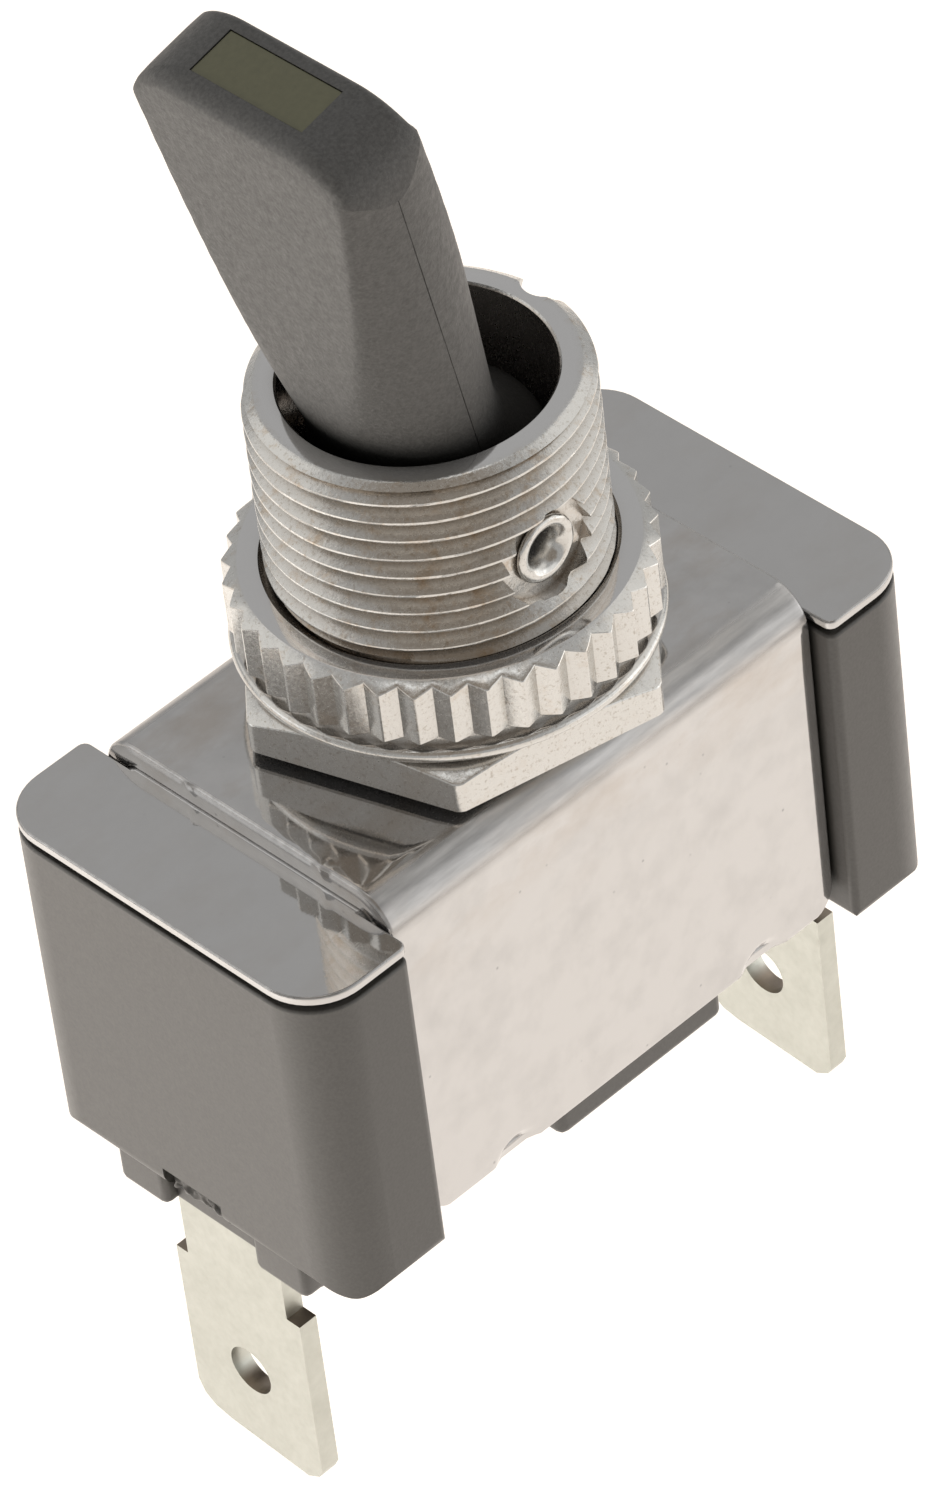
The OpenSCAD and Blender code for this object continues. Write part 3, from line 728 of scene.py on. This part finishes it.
# ---------------------------------------------------------------- bracket
def bracket_path():
    """Stations along the bent sheet: outer point (y, z), outward normal, distance to the end."""
    half = BRACKET_HALF_W
    rises = [0, 0.03, 0.08, 0.15] + [0.3 + 0.15 * i for i in range(8)]
    rises += [1.6, 2.2, 3, 4.5, 6.5, 9, 11.5]
    stations = [(-half, FLAP_LOW + s, -1, 0, s) for s in rises]
    for i in range(13):
        t = math.radians(180 - 90 * i / 12)
        y = -half + BEND_R + BEND_R * math.cos(t)
        stations.append((y, -BEND_R + BEND_R * math.sin(t), math.cos(t), math.sin(t), 13))
    flat = half - BEND_R
    stations += [(-flat + 2 * flat * i / 48, 0, 0, 1, 13) for i in range(1, 25)]
    mirrored = [(-y, z, -ny, nz, s) for y, z, ny, nz, s in reversed(stations[:-1])]
    return stations + mirrored


def sheet_ring(station):
    """Section of the sheet at a station, as seen along the path."""
    y, z, ny, nz, s = station
    inset = SHEAR_R - math.sqrt(max(SHEAR_R ** 2 - max(SHEAR_R - s, 0) ** 2, 0))
    reach = max(FLAP_CORNER_R - s, 0)
    half = BRACKET_HALF_L - (FLAP_CORNER_R - math.sqrt(FLAP_CORNER_R ** 2 - reach ** 2))
    outer, inner, steps = half - SHEAR_R, half - BURR_R, 80
    outline = [(-outer + 2 * outer * i / steps, inset) for i in range(steps + 1)]
    outline += arc(outer, SHEAR_R + inset, SHEAR_R, -75, -15, 3)
    outline += arc(inner, SHEET - BURR_R - inset, BURR_R, 0, 90, 3)[:-1]
    outline += [(inner - 2 * inner * i / steps, SHEET - inset) for i in range(steps + 1)]
    outline += arc(-inner, SHEET - BURR_R - inset, BURR_R, 90, 180, 3)[1:]
    outline += arc(-outer, SHEAR_R + inset, SHEAR_R, 195, 255, 3)
    return [(x, y - ny * d, z - nz * d) for x, d in outline]


def stake(obj):
    """Presses the round dents of the staking tool into the flaps' lower edges."""
    center_y, center_z = BRACKET_HALF_W + DENT_Y, FLAP_LOW - DENT_Z
    for v in obj.data.vertices:
        side = 1 if v.co.y > 0 else -1
        for x in STAKE_X:
            inside = DENT_R ** 2 - (v.co.x - x) ** 2 - (v.co.z - center_z) ** 2
            if inside > 0:
                v.co.y = side * min(abs(v.co.y), center_y - math.sqrt(inside))


def raise_burrs(obj):
    """Pulls out the two burrs that the shear left on the -X end."""
    for y in BURR_Y:
        for v in obj.data.vertices:
            on_end = v.co.x < -BRACKET_HALF_L + 0.3 and v.co.z > -0.5
            if on_end and abs(v.co.y - y) < 0.2:
                v.co.x -= 0.07
                v.co.z += 0.05


def bracket():
    obj = new_object("bracket", *skin([sheet_ring(s) for s in bracket_path()]))
    stake(obj)
    raise_burrs(obj)
    lugs = [box(x - LUG_HALF, x + LUG_HALF, y0, y1, FLAP_LOW + 0.02, MID_LOW - 0.02, 0.12)
            for x in STAKE_X for y0, y1 in ((-LUG_Y[1], -LUG_Y[0]), LUG_Y)]
    combine(obj, lugs, "UNION", "EXACT")
    combine(obj, [post(-3, 3, SPIGOT_R + 0.02)], "DIFFERENCE", "EXACT")
    material = sheet_steel("bracket_steel", (0.56, 0.552, 0.545), 0.06, 0.5)
    return put(obj, "frame_bracket", "switch_body", ["bracket"], material)


# ---------------------------------------------------------------- bushing and nuts
THREAD_SPAN = (NUT_TOP - 0.4, BUSHING_TOP - 0.22)
THREAD_WEAR = 0.025
# share of a turn's rise and share of the depth, from root to crest and back
THREAD_STEPS = ((0.0, 0.0), (0.08, 0.0), (0.27, 0.5), (0.45, 1.0), (0.51, 1.03), (0.57, 1.0),
                (0.76, 0.5), (0.94, 0.0))


def keyed(radius, angle):
    """The radius, or less where the keyway cuts it."""
    a = math.radians((angle + 180) % 360 - 180)
    off = KEYWAY_R ** 2 - (KEYWAY_X * math.sin(a)) ** 2
    if abs(a) > 0.5 or off <= 0:
        return radius
    return min(radius, KEYWAY_X * math.cos(a) - math.sqrt(off))


def bushing_angles():
    """Even steps, and finer ones at the edges of the keyway."""
    fine = [9.2 + d for d in (-2.5, -1.2, -0.5, -0.15, 0.0, 0.15, 0.6)]
    angles = set(evenly(216)) | set(fine) | {360 - a for a in fine} | {0.8, 359.2}
    return sorted(angles)


def thread_limit(z):
    """Largest radius at a height: inside the nut's countersink below, the lead-in above."""
    low = NUT_BORE_R + (z - NUT_TOP + 0.5) * 1.02 - 0.04
    high = RIM_R + 0.12 + (BUSHING_TOP - z) * 1.1
    return min(low if z < NUT_TOP else THREAD_R * 2, high)


def thread_column(angle):
    """Points (r, z) of the thread at an angle, from the nut up to the lead-in."""
    z_low, z_high = THREAD_SPAN
    turns = math.ceil((z_high - z_low) / THREAD_PITCH) + 2
    root = THREAD_R - THREAD_DEPTH
    rows = []
    for turn in range(turns):
        for share, rise in THREAD_STEPS:
            z = z_low + (turn - 1 + share + angle / 360) * THREAD_PITCH
            z = min(max(z, z_low), z_high)
            spot = Vector((math.cos(math.radians(angle)) * 9, angle * 0.05, z * 3))
            wear = THREAD_WEAR * noise.noise(spot)
            r = min(root + THREAD_DEPTH * rise + wear * rise, thread_limit(z))
            if z <= z_low:
                r = CORE_R
            elif z >= z_high:
                r = thread_limit(z_high)
            rows.append((r, z))
    return rows


def helix_faces(count, length, thread_rows):
    """Faces between columns of points. Where the round closes, the thread moves up a turn."""
    faces = []
    for i in range(count):
        shift = len(THREAD_STEPS) if i == count - 1 else 0
        here, there = i * length, (i + 1) % count * length
        for j in range(thread_rows - 1):
            if j + 1 + shift < thread_rows:
                faces.append((here + j, there + j + shift, there + j + shift + 1, here + j + 1))
        for j in range(thread_rows - 1, length):
            k = (j + 1) % length
            faces.append((here + j, there + j, there + k, here + k))
    return faces


def bushing():
    angles = bushing_angles()
    columns = [thread_column(a) for a in angles]
    top = [(RIM_R + 0.12, BUSHING_TOP - 0.06), (RIM_R + 0.02, BUSHING_TOP),
           (BORE_R + 0.08, BUSHING_TOP), (BORE_R, BUSHING_TOP - 0.08)]
    bottom = [(BORE_R, PLATE_LOW + 1), (BORE_R + 0.25, PLATE_LOW), (SWAGE_R, PLATE_LOW),
              (SWAGE_R, -0.96), (SPIGOT_R, -0.96), (SPIGOT_R, 0), (CORE_R, 0.02)]
    verts = []
    for a, rows in zip(angles, columns):
        c, s = math.cos(math.radians(a)), math.sin(math.radians(a))
        for r, z in rows + top + bottom:
            r = keyed(r, a) if r > BORE_R + 0.3 else r
            verts.append((r * c, r * s, z))
    length = len(columns[0]) + len(top) + len(bottom)
    obj = new_object("bushing", verts, helix_faces(len(angles), length, len(columns[0])))
    turn = Matrix.Translation((0, 0, PIVOT_Z)) @ Matrix.Rotation(math.radians(90), 4, "X")
    cuts = [moved(post(-20, 20, CROSS_HOLE_R), turn)]
    for flip in (0, 180):
        mouth = roughen(post(MOUTH_Y, 20, MOUTH_R, steps=48), 0.12, 0.5)
        cuts.append(moved(mouth, turn @ Matrix.Rotation(math.radians(flip), 4, "X")))
    combine(obj, cuts, "DIFFERENCE")
    return put(obj, "threaded_bushing", "switch_body", ["bushing"],
               turned_brass("thread_nickel", 0.007, 0.6, 0.85, True))


def pivot_pin():
    """Hollow pin with a flared lip at each end."""
    half = [(PIN_BORE_R, 0), (PIN_BORE_R, 4.6), (0.62, 5.0), (0.76, 5.3), (0.92, 5.47), (1.08, 5.52),
            (1.22, 5.47), (1.28, 5.36), (1.22, 5.24), (PIN_R, 5.2), (PIN_R, 0)]
    profile = half + [(r, -z) for r, z in reversed(half[1:-1])]
    obj = spun("pin", lambda a: profile, evenly(48))
    moved(obj, Matrix.Translation((0, 0, PIVOT_Z)) @ Matrix.Rotation(math.radians(90), 4, "X"))
    return put(obj, "hollow_pin", "switch_body", ["pivot_pin"],
               turned_brass("pin_steel", 0.001, 0.0, 0.3), sharp=60)


def hex_profile(angle):
    """Section of the hexagonal nut at an angle, with its turned chamfer."""
    off = (angle - HEX_TURN) % 60 - 30
    r = min(HEX_HALF / math.cos(math.radians(off)), HEX_HALF * 1.145)
    top = HEX_TOP - max(r - HEX_HALF + 0.05, 0) * 0.375
    return [(NUT_BORE_R + 0.35, HEX_LOW), (r - 0.07, HEX_LOW), (r, HEX_LOW + 0.07), (r, top - 0.06),
            (r - 0.03, top - 0.015), (r - 0.09, top + 0.02), (HEX_HALF - 0.05, HEX_TOP),
            (NUT_BORE_R + 0.25, HEX_TOP), (NUT_BORE_R, HEX_TOP - 0.25), (NUT_BORE_R, HEX_LOW + 0.35)]


def hex_nut():
    obj = spun("hex", hex_profile, [HEX_TURN + a for a in evenly(288)])
    return put(obj, "hexagonal_nut", "hex_nut_body", ["hex_nut"],
               turned_brass("hex_nickel", 0.005, 0.15, 0.2), sharp=25)


def knurl_angles():
    """Twelve angles a tooth, with the tips and valleys exactly on them."""
    pitch = 360 / KNURL_TEETH
    shares = (0, 0.03, 0.12, 0.25, 0.38, 0.47, 0.5, 0.53, 0.62, 0.75, 0.88, 0.97)
    return [KNURL_TURN + pitch * (i + f) for i in range(KNURL_TEETH) for f in shares]


TOOTH_WEAR = [random.uniform(-0.07, 0.0) for _ in range(KNURL_TEETH)]


def knurl_profile(angle):
    """Section of the knurled nut: flange, groove and teeth with chamfered tops."""
    pitch = 360 / KNURL_TEETH
    turn = ((angle - KNURL_TURN) / pitch) % KNURL_TEETH
    share = turn % 1
    wear = TOOTH_WEAR[int(round(turn)) % KNURL_TEETH]
    rise = abs(2 * share - 1)
    tip = KNURL_R + wear
    r = min(KNURL_R - TOOTH_DEPTH + (TOOTH_DEPTH + wear) * rise, tip - 0.02)
    top = NUT_TOP - max(r - KNURL_R + 0.6, 0) * 0.55
    groove = KNURL_R - TOOTH_DEPTH - 0.08
    flange = [(KNURL_R - 0.25 + x, 2.35 + z) for x, z in arc(0, 0, 0.25, -90, 90, 8)]
    return ([(NUT_BORE_R + 0.35, FLANGE_LOW)] + flange
            + [(groove, FLANGE_TOP), (groove, TEETH_LOW), (r - 0.08, TEETH_LOW), (r, TEETH_LOW + 0.08),
               (r, top - 0.05), (r - 0.02, top - 0.01), (r - 0.07, top + 0.02),
               (KNURL_R - 0.62, NUT_TOP - 0.01), (KNURL_R - 0.68, NUT_TOP),
               (NUT_BORE_R + 0.55, NUT_TOP), (NUT_BORE_R + 0.5, NUT_TOP - 0.03),
               (NUT_BORE_R, NUT_TOP - 0.5),
               (NUT_BORE_R, FLANGE_LOW + 0.3)])


def knurled_nut():
    obj = spun("knurl", knurl_profile, knurl_angles())
    return put(obj, "knurled_nut_ring", "knurled_nut_body", ["knurled_nut"],
               turned_brass("knurl_nickel", 0.003, 0.25, 0.35), sharp=25)


# ---------------------------------------------------------------- lever and lens
def soft_min(a, b, reach):
    """The smaller of two lengths, blended where they are within reach."""
    h = max(reach - abs(a - b), 0) / reach
    return min(a, b) - h * h * reach / 4


def shoulder(y):
    """Height that the end's round shoulders take away at a distance from the middle."""
    past = max(abs(y) - (TIP_HALF_WIDTH - SHOULDER_R), 0)
    share = 1 - math.sqrt(max(1 - (past / SHOULDER_R) ** 2, 0))
    return SHOULDER_DROP * share


def flared(half, z):
    """Half a size of the stem, widening to the ball in a hollow curve below FLARE_TOP."""
    share = max(FLARE_TOP - z, 0) / (FLARE_TOP - FLARE_LOW)
    return half + (FLARE_R - half) * share ** FLARE_POWER


def flat_half(z):
    """Half the thickness between the flats at a height."""
    runout = max(FLAT_LOW - z, 0) * FLAT_RUNOUT
    return TIP_HALF_THICKNESS + (LEVER_LENGTH - z) * FLAT_TAPER + runout


def oval_x(z):
    return flared(TIP_OVAL - (LEVER_LENGTH - z) * OVAL_TAPER_X, z)


def oval_y(z):
    return flared(TIP_HALF_WIDTH - (LEVER_LENGTH - z) * OVAL_TAPER_Y, z)


def stem_angles():
    """Round the stem, with fine steps at the parting lines."""
    angles = set(evenly(120))
    for seam in (90, 270):
        angles |= {seam - 0.9, seam - 0.35, seam + 0.35, seam + 0.9}
    return sorted(angles)


def stem_ring(z, inset=0.0, seam=True):
    """Section of the stem: an oval cut by two flats, with a moulding line on each side.

    The inset is larger towards -X and at both ends, where the end's edge is rounder.
    """
    b = oval_y(z) - inset * 1.6
    ring = []
    for angle in stem_angles():
        t = math.radians(angle)
        inset_x = inset * (0.75 - 0.95 * min(math.cos(t), 0))
        flat = flat_half(z) - inset_x
        across = (oval_x(z) - inset_x) * math.cos(t)
        x = math.copysign(soft_min(abs(across), flat, FLAT_BLEND), across)
        y = b * math.sin(t)
        if seam and min(abs(angle - 90), abs(angle - 270)) < 0.3:
            y *= 1 - 0.006 * (1 + noise.noise(Vector((0, y, z * 2))))
        ring.append((x, y, z))
    return ring


def ball_rings():
    """Rings of the ball at the lever's foot, from its cut underside upwards."""
    low, high, steps = -48, 12, 8
    turns = [math.radians(a) for a in stem_angles()]
    rings = []
    for i in range(steps + 1):
        t = math.radians(low + (high - low) * i / steps)
        r = BALL_R * math.cos(t)
        rings.append([(r * math.cos(a), r * math.sin(a), BALL_R * math.sin(t)) for a in turns])
    return rings


def end_rings():
    """Rings round the edge of the lever's end, then shrinking over its face to the middle."""
    edge_steps, face_steps = 8, 22
    base = LEVER_LENGTH - LEVER_EDGE
    rings = []
    for i in range(1, edge_steps + face_steps + 1):
        t = math.radians(min(90 * i / edge_steps, 90))
        shrink = max(1 - (i - edge_steps) / face_steps, 0.02) if i > edge_steps else 1
        inset = LEVER_EDGE * (1 - math.cos(t))
        ring = stem_ring(base + LEVER_EDGE * math.sin(t), inset, False)
        rings.append([(x * shrink, y * shrink, z - shoulder(y * shrink)) for x, y, z in ring])
    return rings


def lever():
    heights = [FLARE_LOW + 0.25 * i for i in range(16)] + [FLARE_TOP + 0.7 * i for i in range(21)]
    rings = ball_rings() + [stem_ring(z) for z in heights]
    base = LEVER_LENGTH - LEVER_EDGE
    rings = [[(x, y, min(z, base - shoulder(y))) for x, y, z in ring] for ring in rings]
    obj = new_object("lever", *skin(rings + end_rings()))
    combine(obj, [post(TAIL_END, -2.5, TAIL_R)], "UNION")
    lens_x, lens_y = LENS_HALF[0] + 0.01, LENS_HALF[1] + 0.01
    cuts = [
        moved(post(-20, 20, PIN_HOLE_R), Matrix.Rotation(math.radians(90), 4, "X")),
        post(TAIL_END - 1, SPRING_BORE_TOP, SPRING_BORE_R),
        post(LAMP_LOW, LEVER_LENGTH - LENS_DEPTH, LAMP_R),
        box(LENS_X - lens_x, LENS_X + lens_x, -lens_y, lens_y,
            LEVER_LENGTH - LENS_DEPTH - 0.05, LEVER_LENGTH + 1),
        moved(post(SPRING_BORE_TOP - 1, LAMP_LOW + 0.4, 0.2, steps=16),
              Matrix.Translation((LEAD_X, 0, 0))),
        post(0, LAMP_LOW + 0.4, 0.3, steps=16),
    ]
    combine(obj, cuts, "DIFFERENCE")
    return put(obj, "toggle_lever", "lever_body", ["lever"],
               lever_plastic(), IN_LEVER, sharp=40)


def lens():
    x, y = LENS_HALF
    obj = box(LENS_X - x, LENS_X + x, -y, y, LEVER_LENGTH - LENS_DEPTH, LEVER_LENGTH - 0.04,
              0.04)
    return put(obj, "lever_lens", "lever_body", ["lens"], lens_plastic(), IN_LEVER)


# ---------------------------------------------------------------- terminals
def blade(side, top):
    """Flat blade with its shoulders, cut corners and hole, at the +X or -X end."""
    h, n = BLADE_HALF, NECK_HALF
    outline = [(-h + 0.8, BLADE_END), (h - 1.6, BLADE_END + 0.25), (h - 0.8, BLADE_END + 0.4),
               (h - 0.3, BLADE_END + 0.75), (h - 0.05, BLADE_END + 1.3), (h - 0.05, SHOULDER_Z),
               (n, SHOULDER_Z), (n, top), (-n, top), (-n, SHOULDER_Z), (-h, SHOULDER_Z),
               (-h, BLADE_END + 0.75), (-h + 0.2, BLADE_END + 0.35)]
    x = side * BLADE_X
    obj = prism(outline, "YZ", x - BLADE_T / 2, x + BLADE_T / 2)
    across = Matrix.Translation((x, 0, HOLE_Z)) @ Matrix.Rotation(math.radians(90), 4, "Y")
    combine(obj, [moved(post(-2, 2, BLADE_HOLE_R), across)], "DIFFERENCE")
    return bevel(obj, 0.06, 2, 50)


def terminals():
    material = terminal_brass()
    outer = BLADE_X + BLADE_T / 2
    line = blade(-1, STRAP_TOP)
    strap = box(-outer, STRAP_X, -STRAP_Y, STRAP_Y, FLOOR_Z + 0.02, STRAP_TOP, 0.05)
    combine(line, [strap], "UNION")
    combine(line, [post(-13, -10, 0.8)], "DIFFERENCE")
    put(line, "line_blade", "switch_body", ["line_terminal"], material)
    load = blade(1, LOAD_STRAP_TOP)
    strap = box(LOAD_STRAP_X, outer, -STRAP_Y, STRAP_Y, LOAD_STRAP_LOW, LOAD_STRAP_TOP, 0.05)
    combine(load, [strap], "UNION")
    rivet_hole = moved(post(-12, -8, 0.82), Matrix.Translation((CONTACT_X, 0, 0)))
    combine(load, [rivet_hole], "DIFFERENCE")
    put(load, "load_blade", "switch_body", ["load_terminal"], material)


# ---------------------------------------------------------------- inner pieces
def inner_pieces():
    """CAD nodes that keep their shape and get a finish."""
    brass = plain_metal("bare_brass", (0.72, 0.55, 0.26), 0.3)
    silver = plain_metal("silver", (0.86, 0.86, 0.84), 0.2)
    copper = plain_metal("copper_wire", (0.7, 0.4, 0.25), 0.3)
    spring = plain_metal("spring_steel", (0.6, 0.6, 0.62), 0.25)
    finishes = {
        "insulator": fibre_sheet(), "cradle": brass, "cradle_rivet": brass, "rocker": brass,
        "plunger": brass, "lamp_base": brass, "spring_contact": brass, "fixed_contact": silver,
        "moving_contact": silver, "lamp_lead": copper, "ground_lead": copper,
        "plunger_spring": spring, "lamp_bulb": clear_glass(),
    }
    for node, material in finishes.items():
        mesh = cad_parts[node].data
        mesh.materials.clear()
        mesh.materials.append(material)


# ---------------------------------------------------------------- studio
FLOOR_GLOW = (1, 0.875, 0.755, 1)
FLOOR_STRENGTH = 0.72
WORLD_COLOR = (0.52, 0.517, 0.513, 1)


def floor():
    size, height = 4.0, -0.22
    verts = [(-size, -size, height), (size, -size, height), (size, size, height),
             (-size, size, height)]
    obj = new_object("floor", verts, [(0, 1, 2, 3)])
    s = Shader("pale_floor", (0.7, 0.7, 0.7), roughness=0.9)
    s.set("Emission Color", FLOOR_GLOW)
    s.set("Emission Strength", FLOOR_STRENGTH)
    obj.data.materials.append(s.material)


def softbox(name, direction, distance, size, radiance, color=(1, 1, 1)):
    """Square soft light that looks at the object from a direction."""
    data = bpy.data.lights.new(name, "AREA")
    data.shape = "SQUARE"
    data.size = size
    data.energy = radiance * math.pi * size ** 2
    data.color = color
    lamp = bpy.data.objects.new(name, data)
    lamp.location = Vector(direction).normalized() * distance
    lamp.rotation_mode = "QUATERNION"
    lamp.rotation_quaternion = Vector(direction).to_track_quat("Z", "Y")
    lamp.visible_camera = False
    bpy.context.scene.collection.objects.link(lamp)
    return lamp


def card(name, direction, distance, size, color):
    """Square card facing the object that only reflections see, with its own even shade."""
    half = size / 2
    corners = [(x * half, y * half, distance) for x, y in ((-1, -1), (1, -1), (1, 1), (-1, 1))]
    obj = new_object(name, corners, [(0, 1, 2, 3)])
    moved(obj, Vector(direction).to_track_quat("Z", "Y").to_matrix().to_4x4())
    s = Shader(name + "_cloth", (0.02, 0.02, 0.02), roughness=0.9)
    s.set("Emission Color", (*color, 1))
    s.set("Emission Strength", 1)
    obj.data.materials.append(s.material)
    obj.visible_camera = False
    obj.visible_diffuse = False
    obj.visible_shadow = False


def studio():
    """Warm bright floor, cards that shade the metal, soft lights and an even sky."""
    floor()
    card("left_card", (-0.8, 0.12, 0.58), 0.3, 0.22, (0.36, 0.345, 0.33))
    card("camera_card", (-0.33, -0.39, 0.86), 0.3, 0.3, (0.24, 0.2, 0.16))
    card("right_card", (0.76, -0.2, 0.6), 0.3, 0.22, (1.0, 0.98, 0.95))
    card("back_card", (-0.34, 0.71, 0.61), 0.3, 0.2, (0.95, 0.93, 0.9))
    softbox("front_box", (0.474, -0.85, 0.18), 0.5, 0.4, 0.66, (1.0, 0.99, 0.98))
    softbox("right_box", (0.88, -0.47, 0.1), 0.5, 0.34, 1.05)
    softbox("top_box", (-0.1, -0.12, 0.985), 0.5, 0.26, 1.15)
    softbox("back_box", (-0.713, 0.631, 0.305), 0.5, 0.24, 1.1)
    fill = softbox("left_fill", (-0.85, 0.43, -0.3), 0.5, 0.5, 5.5, (1.0, 0.98, 0.95))
    fill.visible_glossy = False
    world = bpy.data.worlds.new("studio")
    world.use_nodes = True
    world.node_tree.nodes["Background"].inputs["Color"].default_value = WORLD_COLOR
    bpy.context.scene.world = world
    bpy.context.scene.view_settings.view_transform = "Standard"


def camera():
    """The photograph's own view of the object."""
    azimuth = math.radians(CAMERA_AZIMUTH)
    elevation = math.radians(CAMERA_ELEVATION)
    roll = math.radians(CAMERA_ROLL)
    level = math.cos(elevation)
    back = Vector((math.sin(azimuth) * level, -math.cos(azimuth) * level, math.sin(elevation)))
    right = Vector((math.cos(azimuth), math.sin(azimuth), 0))
    up = back.cross(right)
    across = right * math.cos(roll) + up * math.sin(roll)
    upright = up * math.cos(roll) - right * math.sin(roll)
    data = bpy.data.cameras.new("camera")
    data.sensor_width = 36
    data.lens = CAMERA_LENS
    data.clip_start = 0.01
    data.clip_end = 20
    obj = bpy.data.objects.new("camera", data)
    turn = Matrix((across, upright, back)).transposed().to_4x4()
    obj.matrix_world = Matrix.Translation(Vector(CAMERA_AT) * MM) @ turn
    bpy.context.scene.collection.objects.link(obj)
    bpy.context.scene.camera = obj


housing()
cover_plate()
bracket()
bushing()
pivot_pin()
hex_nut()
knurled_nut()
lever()
lens()
terminals()
inner_pieces()
studio()
camera()
